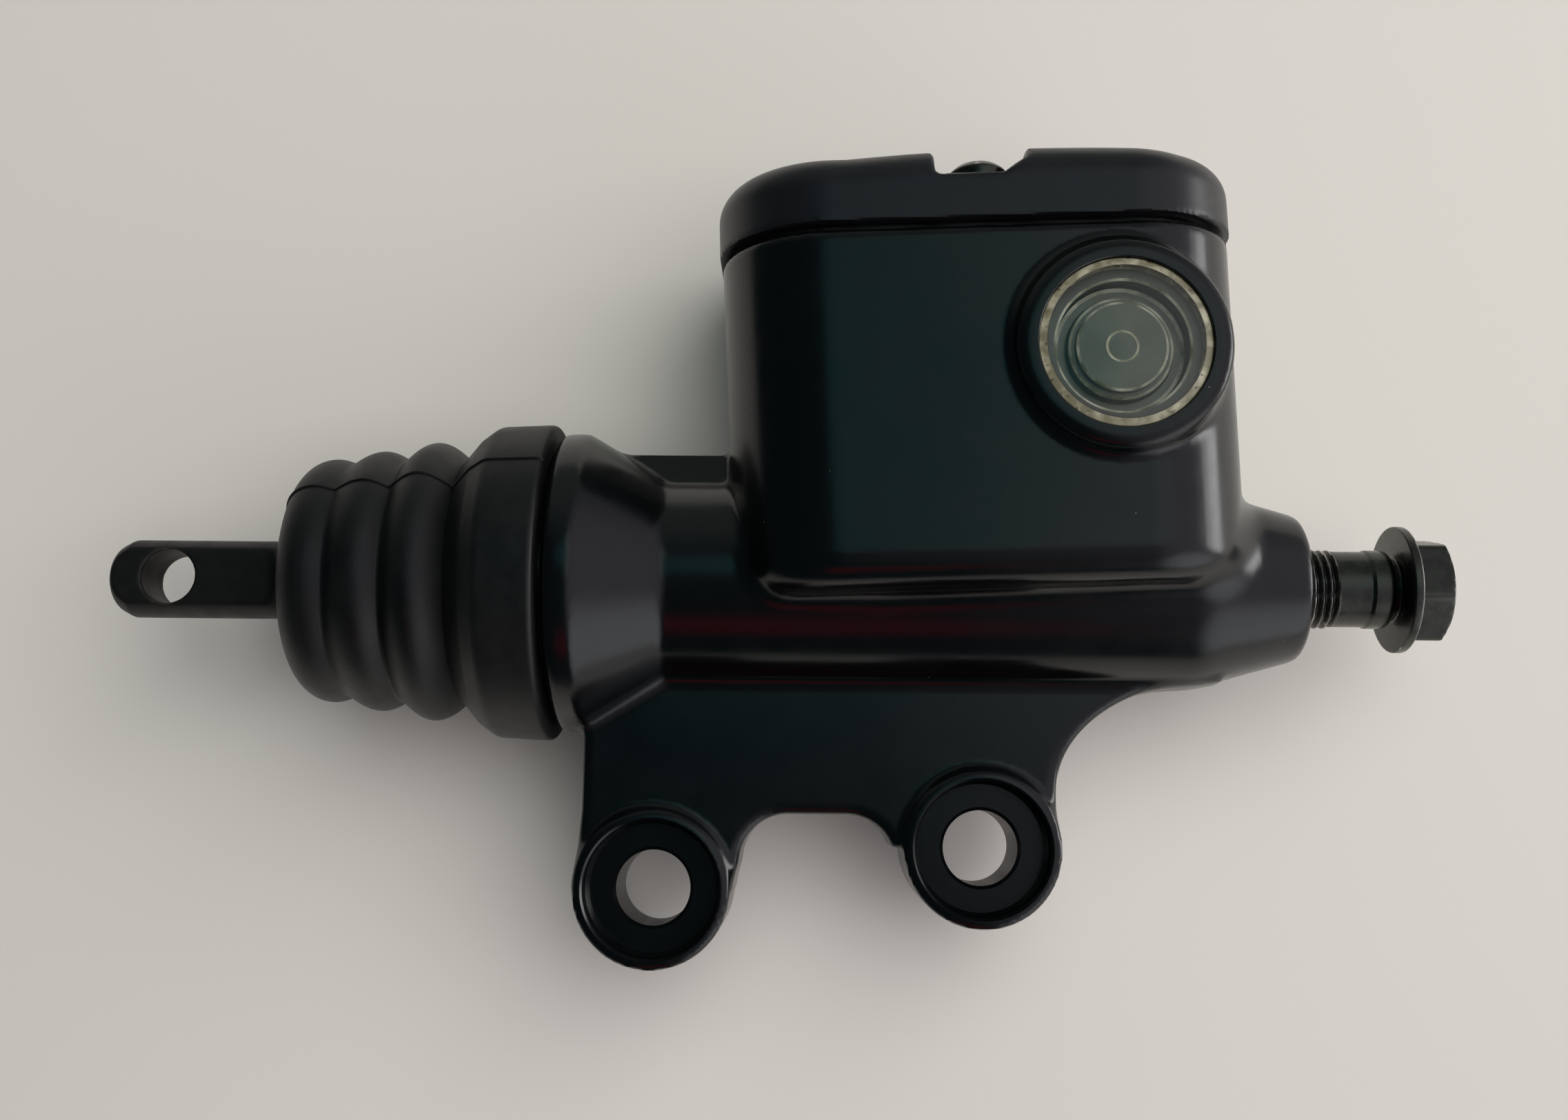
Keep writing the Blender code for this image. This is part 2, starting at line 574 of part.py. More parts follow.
def sight_glass():
    place_at = (GLASS_SIDE, GLASS_UP, 0)
    cup_end = GLASS_FACE - GLASS_WINDOW_T
    lens = turned("sight_glass", [
        (GLASS_FACE, 0), (GLASS_FACE, GLASS_R - GLASS_CHAMFER), (GLASS_FACE - GLASS_CHAMFER, GLASS_R),
        (GLASS_DISC_BACK, GLASS_R), (GLASS_DISC_BACK, GLASS_HUB_R), (GLASS_HUB_BACK, GLASS_HUB_R),
        (GLASS_HUB_BACK, GLASS_CUP_R), (cup_end, GLASS_CUP_R), (cup_end, 0)],
        "Z", reservoir_frame, ROUND_STEPS, place_at)
    finish(lens, (0.75, 0.8, 0.74), 0.06, 0.0, 1.0)
    ring_center = (GLASS_SHELF + GAP + ORING_R, GLASS_HUB_R + GAP + ORING_R)
    section = circle(ring_center, ORING_R, ORING_STEPS)
    ring = turned("sight_glass_oring", section, "Z", reservoir_frame, SMALL_STEPS, place_at)
    finish(ring, (0.01, 0.01, 0.01), 0.6)


def stop_washer():
    front = WASHER_X + WASHER_T
    outer = COUNTERBORE_R - GAP
    washer = turned("stop_washer", [
        (front, WASHER_HOLE_R), (front, outer), (WASHER_X, outer), (WASHER_X, WASHER_HOLE_R)],
        steps=SMALL_STEPS)
    finish(washer, (0.45, 0.45, 0.45), 0.35, 1.0)


def snap_ring():
    outer = COUNTERBORE_R + RING_BITE
    inner = outer - RING_WIDTH
    lug_in = outer - RING_LUG
    lug_edge = RING_GAP_ANGLE + RING_LUG_ANGLE
    ring = arc((0, 0), outer, RING_GAP_ANGLE, 360 - RING_GAP_ANGLE, RING_STEPS)
    ring += arc((0, 0), lug_in, 360 - RING_GAP_ANGLE, 360 - lug_edge, RING_LUG_STEPS)
    ring += arc((0, 0), inner, 360 - lug_edge, lug_edge, RING_STEPS)
    ring += arc((0, 0), lug_in, lug_edge, RING_GAP_ANGLE, RING_LUG_STEPS)
    outlines = [ring]
    hole_at = (lug_in + outer) / 2
    for turn in (1, -1):
        angle = math.radians(turn * (RING_GAP_ANGLE + RING_LUG_ANGLE / 2))
        center = (hole_at * math.cos(angle), hole_at * math.sin(angle))
        outlines.append(circle(center, RING_LUG_HOLE_R, TINY_STEPS))
    clip = plate("snap_ring", outlines, RING_X, RING_X + RING_T, "X")
    finish(clip, (0.35, 0.34, 0.33), 0.35, 1.0)


def piston():
    groove_r = PISTON_R - CUP_GROOVE_DEPTH
    waist_r = PISTON_R - WAIST_DEPTH
    socket_r = BALL_R + GAP
    mouth_r = (socket_r + PISTON_R) / 2
    groove_end = REAR_GROOVE_X + CUP_GROOVE
    pilot_end = PISTON_FACE_X + PILOT_LENGTH
    profile = [
        (pilot_end, 0), (pilot_end, PILOT_R), (PISTON_FACE_X, PILOT_R), (PISTON_FACE_X, PISTON_R),
        (FRONT_LAND_X, PISTON_R), (FRONT_LAND_X, waist_r), (WAIST_X, waist_r), (WAIST_X, PISTON_R),
        (groove_end, PISTON_R), (groove_end, groove_r), (REAR_GROOVE_X, groove_r),
        (REAR_GROOVE_X, PISTON_R), (STOP_X, PISTON_R), (STOP_X, mouth_r),
        (STOP_X + (mouth_r - socket_r), socket_r)]
    profile += arc((BALL_X, 0), socket_r, 90, 0, BALL_STEPS)[:-1] + [(BALL_X + socket_r, 0)]
    finish(turned("piston", profile, steps=SMALL_STEPS), (0.55, 0.55, 0.57), 0.35, 1.0)

    lip_end = CUP_X + CUP_BASE + CUP_LIP_LENGTH
    cup_floor = CUP_X + CUP_BASE
    cup_in = PILOT_R + GAP
    primary = turned("primary_cup", [
        (lip_end, PISTON_R - CUP_LIP_T), (lip_end, PISTON_R), (CUP_X, PISTON_R - GAP),
        (CUP_X, cup_in), (cup_floor, cup_in), (cup_floor, PISTON_R - CUP_LIP_T - 2 * GAP)], steps=SMALL_STEPS)
    finish(primary, (0.012, 0.012, 0.012), 0.6)

    rear = REAR_GROOVE_X + GAP
    front = groove_end - GAP
    inside = groove_r + GAP
    secondary = turned("secondary_cup", [
        (front, PISTON_R - CUP_LIP_T), (front, PISTON_R), (rear, PISTON_R - GAP), (rear, inside),
        ((rear + front) / 2, inside), ((rear + front) / 2, PISTON_R - CUP_LIP_T - GAP)], steps=SMALL_STEPS)
    finish(secondary, (0.012, 0.012, 0.012), 0.6)

    seat_front = SEAT_X + SEAT_T
    seat_r = PISTON_R - CUP_LIP_T - 3 * GAP
    tube_end = seat_front + SEAT_TUBE_LENGTH
    seat = turned("spring_seat", [
        (tube_end, cup_in), (tube_end, SEAT_TUBE_R), (seat_front, SEAT_TUBE_R), (seat_front, seat_r),
        (SEAT_X, seat_r), (SEAT_X, cup_in)], steps=SMALL_STEPS)
    finish(seat, (0.5, 0.5, 0.5), 0.35, 1.0)


def return_spring():
    """One unbroken wire, wound by a loop; prints the least gap between its turns."""
    count = round(SPRING_TURNS * SPRING_POINTS_A_TURN)
    points = []
    for i in range(count + 1):
        share = i / count
        angle = 2 * math.pi * SPRING_TURNS * share
        x = SPRING_START_X + (SPRING_END_X - SPRING_START_X) * share
        points.append(Vector((x, SPRING_R * math.cos(angle), SPRING_R * math.sin(angle))))
    gaps = []
    for i, a in enumerate(points):
        for b in points[i + SPRING_POINTS_A_TURN // 2:]:
            gaps.append((a - b).length - 2 * WIRE_R)
    print("return spring least gap to itself: %.2f mm" % (min(gaps) / MM))

    curve = bpy.data.curves.new("return_spring", "CURVE")
    curve.dimensions = "3D"
    curve.bevel_depth = WIRE_R
    curve.bevel_resolution = 1
    curve.use_fill_caps = True
    spline = curve.splines.new("POLY")
    spline.points.add(count)
    for point, place_at in zip(spline.points, points):
        point.co = (*place_at, 1)
    spring = place(bpy.data.objects.new("return_spring", curve), bore_axis, False)
    finish(spring, (0.4, 0.4, 0.42), 0.3, 1.0)


def push_rod():
    """Bar with a ball at the piston end and a flattened eye; x is counted from the ball."""
    end = -ROD_LENGTH
    nose_center = end + ROD_NOSE_R
    nose_start = 180 - math.degrees(math.asin(min(1.0, ROD_R / ROD_NOSE_R)))
    neck_start = 180 - math.degrees(math.asin(min(1.0, ROD_NECK_R / BALL_R)))
    neck_end = -ROD_NECK_LENGTH
    profile = [(BALL_R, 0)] + arc((0, 0), BALL_R, 0, neck_start, BALL_STEPS)[1:]
    profile += [(neck_end, ROD_NECK_R), (neck_end - ROD_NECK_TAPER, ROD_R)]
    profile += arc((nose_center, 0), ROD_NOSE_R, nose_start, 180, CORNER_STEPS)[:-1] + [(end, 0)]
    rod = turned("push_rod", profile, parent=rod_ball, steps=SMALL_STEPS)
    cuts = []
    flat_end = end + FLAT_LENGTH
    for name, side in (("front", 1), ("back", -1)):
        low = side * FLAT_THICKNESS / 2
        high = side * (ROD_R + OVERCUT)
        flat = [(end - OVERCUT, low), (end - OVERCUT, high), (flat_end, high)]
        center = (flat_end - FLAT_RUNOUT_R, low + side * FLAT_RUNOUT_R)
        flat += arc(center, FLAT_RUNOUT_R, 0, -90 * side, RIM_STEPS)
        cuts.append(plate("flat_" + name, [flat], -ROD_R - OVERCUT, ROD_R + OVERCUT, "Y", rod_ball, True))
    high = ROD_R + OVERCUT
    cuts.append(turned("eye", [(high, 0), (high, EYE_R), (-high, EYE_R), (-high, 0)], "Z", rod_ball,
                       SMALL_STEPS, (end + EYE_FROM_END, 0, 0), True))
    combine(rod, "DIFFERENCE", *cuts)
    finish(rod, (0.016, 0.015, 0.015), 0.5, 0.3)


def boot_outer():
    """The boot's outside from its lip to the rod: lip, flare, ribs and rounded end."""
    lip_r = SPIGOT_R + GAP + BOOT_LIP_WALL
    lip_end = COLLAR_X - GAP
    lip_start = lip_end - BOOT_LIP_LENGTH
    end = lip_end - BOOT_LENGTH
    first = end + FIRST_RIB_FROM_END
    crests = [(first + i * RIB_PITCH, FIRST_RIB_R + i * RIB_GROWTH) for i in range(RIB_COUNT)]
    outer = [(lip_end, SPIGOT_R + GAP), (lip_end, lip_r - BOOT_LIP_ROUND)]
    outer.append((lip_end - BOOT_LIP_ROUND, lip_r))
    valley = (lip_start - BOOT_FLARE_LENGTH, crests[-1][1] - RIB_DEPTH)
    for i in range(RIB_STEPS + 1):
        share = i / RIB_STEPS
        outer.append((lip_start - BOOT_FLARE_LENGTH * share,
                      valley[1] + (lip_r - valley[1]) * math.cos(share * math.pi / 2)))
    for i in reversed(range(RIB_COUNT)):
        crest = crests[i]
        low = (crest[0] - RIB_PITCH / 2, crest[1] - RIB_DEPTH)
        for step in range(1, 2 * RIB_STEPS):
            share = step / RIB_STEPS - 1
            far = valley if share < 0 else low
            if i == 0 and share > 0:
                break
            bulge = math.cos(share * math.pi / 2)
            outer.append((crest[0] + (far[0] - crest[0]) * abs(share), far[1] + (crest[1] - far[1]) * bulge))
        if i > 0:
            outer.append(low)
            valley = low
    radii = (FIRST_RIB_FROM_END, FIRST_RIB_R - BOOT_END_FLAT_R)
    outer += arc((end + radii[0], BOOT_END_FLAT_R), radii, 90, 180, RIB_STEPS)[1:]
    outer.append((end, ROD_R + GAP))
    return outer


def boot():
    outer = boot_outer()
    end = outer[-1][0]
    seat_r = SPIGOT_R + GAP
    inner = [(end + BOOT_WALL, ROD_R + GAP)]
    for x, radius in reversed(outer[3:-1]):
        if x > end + BOOT_WALL:
            inner.append((x, min(radius - BOOT_WALL, seat_r)))
    bellows = turned("boot", outer + inner)
    finish(bellows, (0.014, 0.014, 0.014), 0.62)


def banjo_bolt():
    flange_x = BODY_END_X + BOLT_SHOW
    head_x = flange_x + FLANGE_T
    thread_end = BODY_END_X + BOLT_THREAD_SHOW
    tip = BODY_END_X - THREAD_DEPTH + BOLT_TIP_CLEAR
    neck = flange_x - BOLT_NECK_LENGTH
    bolt = turned("banjo_bolt", [
        (head_x, 0), (head_x, FLANGE_R), (flange_x, FLANGE_R), (flange_x, BOLT_NECK_R), (neck, BOLT_NECK_R),
        (neck, BOLT_SHANK_R), (thread_end, BOLT_SHANK_R), (thread_end, THREAD_R),
        (tip + BOLT_TIP_CHAMFER, THREAD_R), (tip, THREAD_R - BOLT_TIP_CHAMFER), (tip, 0)])
    corner_r = HEX_FLATS / 2 / math.cos(math.pi / HEX_SIDES)
    hexagon = arc((0, 0), corner_r, HEX_TURN, HEX_TURN + 360, HEX_SIDES)[:-1]
    head = plate("bolt_head", [hexagon], head_x - FLANGE_T / 2, head_x + HEX_H, "X", tool=True)
    top = head_x + HEX_H
    face_r = HEX_FLATS / 2 - HEX_CHAMFER / 2
    drop = HEX_CHAMFER * (corner_r + OVERCUT - face_r) / (corner_r - face_r)
    chamfer = turned("head_chamfer", [
        (top, 0), (top, face_r), (top - drop, corner_r + OVERCUT), (flange_x, corner_r + OVERCUT),
        (flange_x, 0)], tool=True)
    combine(head, "INTERSECT", chamfer)
    cross_x = thread_end + BOLT_CROSS_FROM_THREAD
    bolt_bore = turned("bolt_bore", [
        (cross_x + BOLT_CROSS_R, 0), (cross_x + BOLT_CROSS_R, BOLT_BORE_R), (tip - OVERCUT, BOLT_BORE_R),
        (tip - OVERCUT, 0)], steps=TINY_STEPS, tool=True)
    reach = THREAD_R + OVERCUT
    cross = turned("bolt_cross", [
        (reach, 0), (reach, BOLT_CROSS_R), (-reach, BOLT_CROSS_R), (-reach, 0)], "Y", steps=TINY_STEPS,
        at=(cross_x, 0, 0), tool=True)
    combine(bolt, "UNION", head)
    combine(bolt, "DIFFERENCE", bolt_bore, cross)
    finish(bolt, (0.05, 0.05, 0.05), 0.35, 1.0)


def stand_on_floor():
    """Move the whole cylinder so that the middle of its underside is the origin."""
    depsgraph = bpy.context.evaluated_depsgraph_get()
    corners = []
    for obj in parts.objects:
        if obj.type == "EMPTY":
            continue
        shape = obj.evaluated_get(depsgraph)
        corners += [shape.matrix_world @ v.co for v in shape.to_mesh().vertices]
        shape.to_mesh_clear()
    low = [min(c[i] for c in corners) for i in range(3)]
    high = [max(c[i] for c in corners) for i in range(3)]
    bore_axis.location = (-(low[0] + high[0]) / 2, -(low[1] + high[1]) / 2, -low[2])
    bpy.context.view_layer.update()
    size = [(b - a) / MM for a, b in zip(low, high)]
    print("size in mm: %.2f %.2f %.2f" % tuple(size))
    print("bore axis in mm: %.3f %.3f %.3f" % tuple(v / MM for v in bore_axis.location))


housing()
cover()
gasket()
cover_screws()
sight_glass()
stop_washer()
snap_ring()
piston()
return_spring()
push_rod()
boot()
banjo_bolt()
stand_on_floor()
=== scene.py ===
import math

import bmesh
import bpy
import numpy as np
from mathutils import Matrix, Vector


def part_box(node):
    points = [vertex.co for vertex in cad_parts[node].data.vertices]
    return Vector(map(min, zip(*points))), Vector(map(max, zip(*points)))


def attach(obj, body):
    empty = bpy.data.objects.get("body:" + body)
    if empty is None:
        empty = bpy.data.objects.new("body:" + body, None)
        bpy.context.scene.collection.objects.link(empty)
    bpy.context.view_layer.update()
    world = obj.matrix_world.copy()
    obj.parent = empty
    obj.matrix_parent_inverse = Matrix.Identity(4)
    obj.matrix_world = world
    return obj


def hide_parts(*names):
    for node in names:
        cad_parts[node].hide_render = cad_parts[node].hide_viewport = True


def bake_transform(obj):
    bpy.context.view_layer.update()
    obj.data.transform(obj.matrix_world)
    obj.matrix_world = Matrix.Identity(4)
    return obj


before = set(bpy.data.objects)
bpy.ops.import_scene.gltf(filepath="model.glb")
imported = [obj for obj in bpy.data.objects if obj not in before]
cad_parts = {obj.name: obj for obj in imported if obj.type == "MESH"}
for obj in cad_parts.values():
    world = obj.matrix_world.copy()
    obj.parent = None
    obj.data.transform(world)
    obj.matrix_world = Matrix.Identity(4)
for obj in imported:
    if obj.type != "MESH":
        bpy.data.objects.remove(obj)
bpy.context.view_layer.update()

import openvdb
from mathutils import Matrix, Vector

mm = 0.001

# Every piece below is drawn in millimetres about the bore: x from the push rod to the outlet bolt,
# y towards the cover, z out of the sight glass. The reservoir has its own u, v, w, turned a little.
layout = {
    "mouthX": -38.0,  # open end of the bore, where the housing starts
    "reservoirX": 21.15,
    "reservoirZ": -0.5,
    "reservoirTilt": math.radians(2.2),
    "ballX": -24.0,
    "screwOut": 15.0,  # the cover screws, each side of the reservoir's middle
}
boltLow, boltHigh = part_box("banjo_bolt")
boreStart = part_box("housing")[0].x - layout["mouthX"] * mm
boreAxis = Vector((boreStart, (boltLow.y + boltHigh.y) / 2, (boltLow.z + boltHigh.z) / 2))
alongBore = Matrix.Translation(boreAxis) @ Matrix.Scale(mm, 4)
inReservoir = (alongBore @ Matrix.Translation((layout["reservoirX"], 0, layout["reservoirZ"]))
               @ Matrix.Rotation(layout["reservoirTilt"], 4, "Z"))
turnToY = Matrix(((0, 0, 1), (1, 0, 0), (0, 1, 0))).to_4x4()  # a turned piece's own x becomes y
turnToZ = Matrix(((0, 1, 0), (0, 0, 1), (1, 0, 0))).to_4x4()  # or z
print("bore axis at", [round(v / mm, 2) for v in boreAxis])


# Shapes

def meshObject(name, points, faces, matrix):
    mesh = bpy.data.meshes.new(name)
    mesh.from_pydata(points, [], faces)
    mesh.transform(matrix)
    bm = bmesh.new()
    bm.from_mesh(mesh)
    if bm.calc_volume(signed=True) < 0:
        bmesh.ops.reverse_faces(bm, faces=bm.faces)
    bm.to_mesh(mesh)
    bm.free()
    obj = bpy.data.objects.new(name, mesh)
    bpy.context.scene.collection.objects.link(obj)
    return obj


def smoothShade(obj, sharpAngle=38):
    obj.data.shade_smooth()
    obj.data.set_sharp_from_angle(angle=math.radians(sharpAngle))
    return obj


def softPath(corners, closed=False, steps=6):
    # corners are (along, across) or (along, across, softness), and a soft corner becomes a small curve
    path = []
    last = len(corners) - 1
    for i, corner in enumerate(corners):
        here = Vector(corner[:2])
        if len(corner) < 3 or (not closed and i in (0, last)):
            path.append(tuple(here))
            continue
        back = Vector(corners[i - 1][:2]) - here
        on = Vector(corners[(i + 1) % (last + 1)][:2]) - here
        reach = corner[2] / math.tan(back.angle(on) / 2)
        most = 0.49  # of each side, so that two soft corners never meet
        start = here + back.normalized() * min(reach, most * back.length)
        end = here + on.normalized() * min(reach, most * on.length)
        for step in range(steps + 1):
            t = step / steps
            path.append(tuple(start * (1 - t) ** 2 + here * 2 * t * (1 - t) + end * t ** 2))
    return path


def arcPoints(center, radius, start, end, steps):
    across, up = radius if isinstance(radius, tuple) else (radius, radius)
    angles = np.radians(np.linspace(start, end, steps + 1))
    return [(center[0] + across * math.cos(a), center[1] + up * math.sin(a)) for a in angles]


def polarSkin(name, along, radius, matrix, ring=False):
    # rows of points round the x axis; a ring's last row meets its first, other shapes get flat ends
    rows, steps = radius.shape
    angle = np.linspace(0, 2 * math.pi, steps, endpoint=False)
    places = [np.broadcast_to(along, radius.shape), radius * np.cos(angle), radius * np.sin(angle)]
    points = np.stack(places, -1).reshape(-1, 3)
    index = np.arange(rows * steps).reshape(rows, steps)
    low = index if ring else index[:-1]
    high = np.roll(index, -1, axis=0) if ring else index[1:]
    quads = np.stack([low, np.roll(low, -1, axis=1), np.roll(high, -1, axis=1), high], -1)
    faces = quads.reshape(-1, 4).tolist()
    if not ring:
        faces += [index[0][::-1].tolist(), index[-1].tolist()]
    return meshObject(name, points.tolist(), faces, matrix)


def turned(name, path, matrix, steps=96, ring=False):
    rows = np.array(path)
    radius = np.repeat(np.maximum(rows[:, 1:2], 0.01), steps, axis=1)  # no row shrinks to a point
    return polarSkin(name, rows[:, 0:1], radius, matrix, ring)


def drillTool(name, size, matrix, steps):
    low, high, radius = size
    return turned(name, [(low, 0), (low, radius), (high, radius), (high, 0)], matrix, steps)


def outlineDistance(x, y, outline):
    # signed distance in the plane to a closed outline, negative inside
    nearest = np.full(np.broadcast(x, y).shape, 1e9, np.float32)
    inside = np.zeros(nearest.shape, bool)
    for (ax, ay), (bx, by) in zip(outline, outline[1:] + outline[:1]):
        runX, runY = bx - ax, by - ay
        share = np.clip(((x - ax) * runX + (y - ay) * runY) / max(runX ** 2 + runY ** 2, 1e-9), 0, 1)
        nearest = np.minimum(nearest, (x - ax - share * runX) ** 2 + (y - ay - share * runY) ** 2)
        if ay != by:
            inside ^= ((ay > y) != (by > y)) & (x < runX * (y - ay) / runY + ax)
    return np.where(inside, -1, 1) * np.sqrt(nearest)


def turnedDistance(x, y, z, path):
    # measured once in a table of x and radius, then spread round the axis
    reach = np.linspace(0, 60, 601)  # every 0.1 mm, past the farthest corner
    outline = list(path) + [(along, -radius) for along, radius in reversed(path)]
    table = outlineDistance(x.reshape(-1, 1), reach.reshape(1, -1), outline)
    radius = np.hypot(y, z)[0]
    return np.stack([np.interp(radius, reach, row) for row in table])


def roundedCorner(a, b, edge):
    # what lies behind two faces, with the corner between them rounded
    a, b = a + edge, b + edge
    return np.hypot(np.maximum(a, 0), np.maximum(b, 0)) + np.minimum(np.maximum(a, b), 0) - edge


def rectangleDistance(u, w, halfU, halfW, corner):
    return roundedCorner(np.abs(u) - halfU, np.abs(w) - halfW, corner)


def slab(flat, along, low, high, lowRound=0.0, highRound=0.0):
    # a flat outline between two heights, with its two rims rounded
    edge = np.where(along < (low + high) / 2, lowRound, highRound)
    return roundedCorner(flat, np.maximum(low - along, along - high), edge)


def joined(a, b, fillet):
    # both shapes as one, with a round fillet where they meet
    corner = np.hypot(np.maximum(fillet - a, 0), np.maximum(fillet - b, 0))
    return np.maximum(fillet, np.minimum(a, b)) - corner


def cutAway(a, b, edge):
    # the first shape less the second, with the new edge rounded
    return -joined(-a, b, edge)


def reservoirPlace(x, y, z):
    # bore x, y, z to the reservoir's own u, v, w
    turn = layout["reservoirTilt"]
    side = x - layout["reservoirX"]
    u = math.cos(turn) * side + math.sin(turn) * y
    v = math.cos(turn) * y - math.sin(turn) * side
    return u, v, z - layout["reservoirZ"]


def skinOf(name, distance, low, high, pitch):
    # lays a smooth skin of small quads where the distance is zero
    axes = [np.arange(a, b + pitch, pitch) for a, b in zip(low, high)]
    x, y, z = np.meshgrid(*axes, indexing="ij", sparse=True)
    grid = openvdb.FloatGrid(1.0)
    grid.copyFromArray(np.ascontiguousarray(distance(x, y, z), np.float32))
    points, quads = grid.convertToQuads()
    print(name, len(quads), "quads")
    points = points * pitch + np.array(low)
    return smoothShade(meshObject(name, points.tolist(), quads.tolist(), alongBore))


def machine(obj, *tools):
    # cuts each tool out of the piece, then drops the tools
    for tool in tools:
        cut = obj.modifiers.new(tool.name, "BOOLEAN")
        cut.operation = "DIFFERENCE"
        cut.solver = "MANIFOLD"
        cut.object = tool
    depsgraph = bpy.context.evaluated_depsgraph_get()
    mesh = bpy.data.meshes.new_from_object(obj.evaluated_get(depsgraph))
    obj.modifiers.clear()
    obj.data = mesh
    for tool in tools:
        bpy.data.objects.remove(tool, do_unlink=True)
    return smoothShade(obj)


def wire(name, points, radius, matrix, sides=2):
    curve = bpy.data.curves.new(name, "CURVE")
    curve.dimensions = "3D"
    curve.bevel_depth = radius
    curve.bevel_resolution = sides
    curve.use_fill_caps = True
    spline = curve.splines.new("POLY")
    spline.points.add(len(points) - 1)
    for point, place in zip(spline.points, points):
        point.co = (*place, 1)
    source = bpy.data.objects.new(name, curve)
    bpy.context.scene.collection.objects.link(source)
    depsgraph = bpy.context.evaluated_depsgraph_get()
    mesh = bpy.data.meshes.new_from_object(source.evaluated_get(depsgraph))
    bpy.data.objects.remove(source, do_unlink=True)
    bm = bmesh.new()
    bm.from_mesh(mesh)
    bmesh.ops.remove_doubles(bm, verts=bm.verts, dist=radius / 100)
    bm.to_mesh(mesh)
    bm.free()
    mesh.transform(matrix)
    obj = bpy.data.objects.new(name, mesh)
    bpy.context.scene.collection.objects.link(obj)
    obj.data.shade_smooth()
    return obj


def mergeInto(obj, *others):
    # adds the others' meshes to the piece, then drops the others
    bm = bmesh.new()
    bm.from_mesh(obj.data)
    for other in others:
        bm.from_mesh(other.data)
        bpy.data.objects.remove(other, do_unlink=True)
    bm.to_mesh(obj.data)
    bm.free()


def faceMiddles(obj):
    # each face's x, y and distance from the bore's axis, in millimetres
    middles = np.zeros(len(obj.data.polygons) * 3)
    obj.data.polygons.foreach_get("center", middles)
    x, y, z = ((middles.reshape(-1, 3) - np.array(boreAxis)) / mm).T
    return x, y, np.hypot(y, z)


# Finishes

def hexColour(text):
    values = [int(text[i:i + 2], 16) / 255 for i in (1, 3, 5)]
    linear = [v / 12.92 if v <= 0.04045 else ((v + 0.055) / 1.055) ** 2.4 for v in values]
    return (*linear, 1.0)


def perMm(size):
    return 1 / (size * mm)


def addNode(tree, kind, settings=(), links=()):
    node = tree.nodes.new("ShaderNode" + kind)
    for name, value in dict(settings).items():
        if isinstance(name, str) and hasattr(node, name):
            setattr(node, name, value)
        else:
            node.inputs[name].default_value = value
    for name, source in dict(links).items():
        tree.links.new(source, node.inputs[name])
    return node


def newMaterial(name):
    material = bpy.data.materials.new(name)
    material.use_nodes = True
    tree = material.node_tree
    return material, tree, tree.nodes["Principled BSDF"], addNode(tree, "TexCoord").outputs["Object"]


def electrocoatedCasting():
    # black electrocoat on die-cast aluminium: a thin even film, soft gloss, the casting's faint waves below
    look = {"dark": "#030405", "light": "#07090a", "speck": "#6c6c66", "cloud": 16, "dust": 5, "smear": 5,
            "wave": 11, "peel": 0.8, "gloss": (0.17, 0.25)}
    dark, light = hexColour(look["dark"]), hexColour(look["light"])
    material, tree, shader, place = newMaterial("electrocoatedCasting")
    cloud = addNode(tree, "TexNoise", {"Scale": perMm(look["cloud"]), "Detail": 4}, {"Vector": place})
    tone = addNode(tree, "Mix", {"data_type": "RGBA", 6: dark, 7: light}, {0: cloud.outputs["Fac"]})
    speck = addNode(tree, "TexVoronoi", {"Scale": perMm(look["dust"])}, {"Vector": place})
    few = addNode(tree, "MapRange", {1: 0.01, 2: 0.018, 3: 1.0, 4: 0.0}, {0: speck.outputs["Distance"]})
    dusty = addNode(tree, "Mix", {"data_type": "RGBA", 7: hexColour(look["speck"])},
                    {0: few.outputs[0], 6: tone.outputs[2]})
    smear = addNode(tree, "TexNoise", {"Scale": perMm(look["smear"]), "Detail": 6, "Roughness": 0.6},
                    {"Vector": place})
    gloss = addNode(tree, "MapRange", {1: 0.3, 2: 0.7, 3: look["gloss"][0], 4: look["gloss"][1]},
                    {0: smear.outputs["Fac"]})
    wave = addNode(tree, "TexNoise", {"Scale": perMm(look["wave"]), "Detail": 1}, {"Vector": place})
    peel = addNode(tree, "TexNoise", {"Scale": perMm(look["peel"]), "Detail": 2}, {"Vector": place})
    swell = addNode(tree, "Bump", {"Strength": 0.25, "Distance": 0.15 * mm}, {"Height": wave.outputs["Fac"]})
    skin = addNode(tree, "Bump", {"Strength": 0.12, "Distance": 0.03 * mm},
                   {"Height": peel.outputs["Fac"], "Normal": swell.outputs["Normal"]})
    tree.links.new(dusty.outputs[2], shader.inputs["Base Color"])
    tree.links.new(gloss.outputs[0], shader.inputs["Roughness"])
    tree.links.new(skin.outputs["Normal"], shader.inputs["Normal"])
    shader.inputs["IOR"].default_value = 1.52
    return material


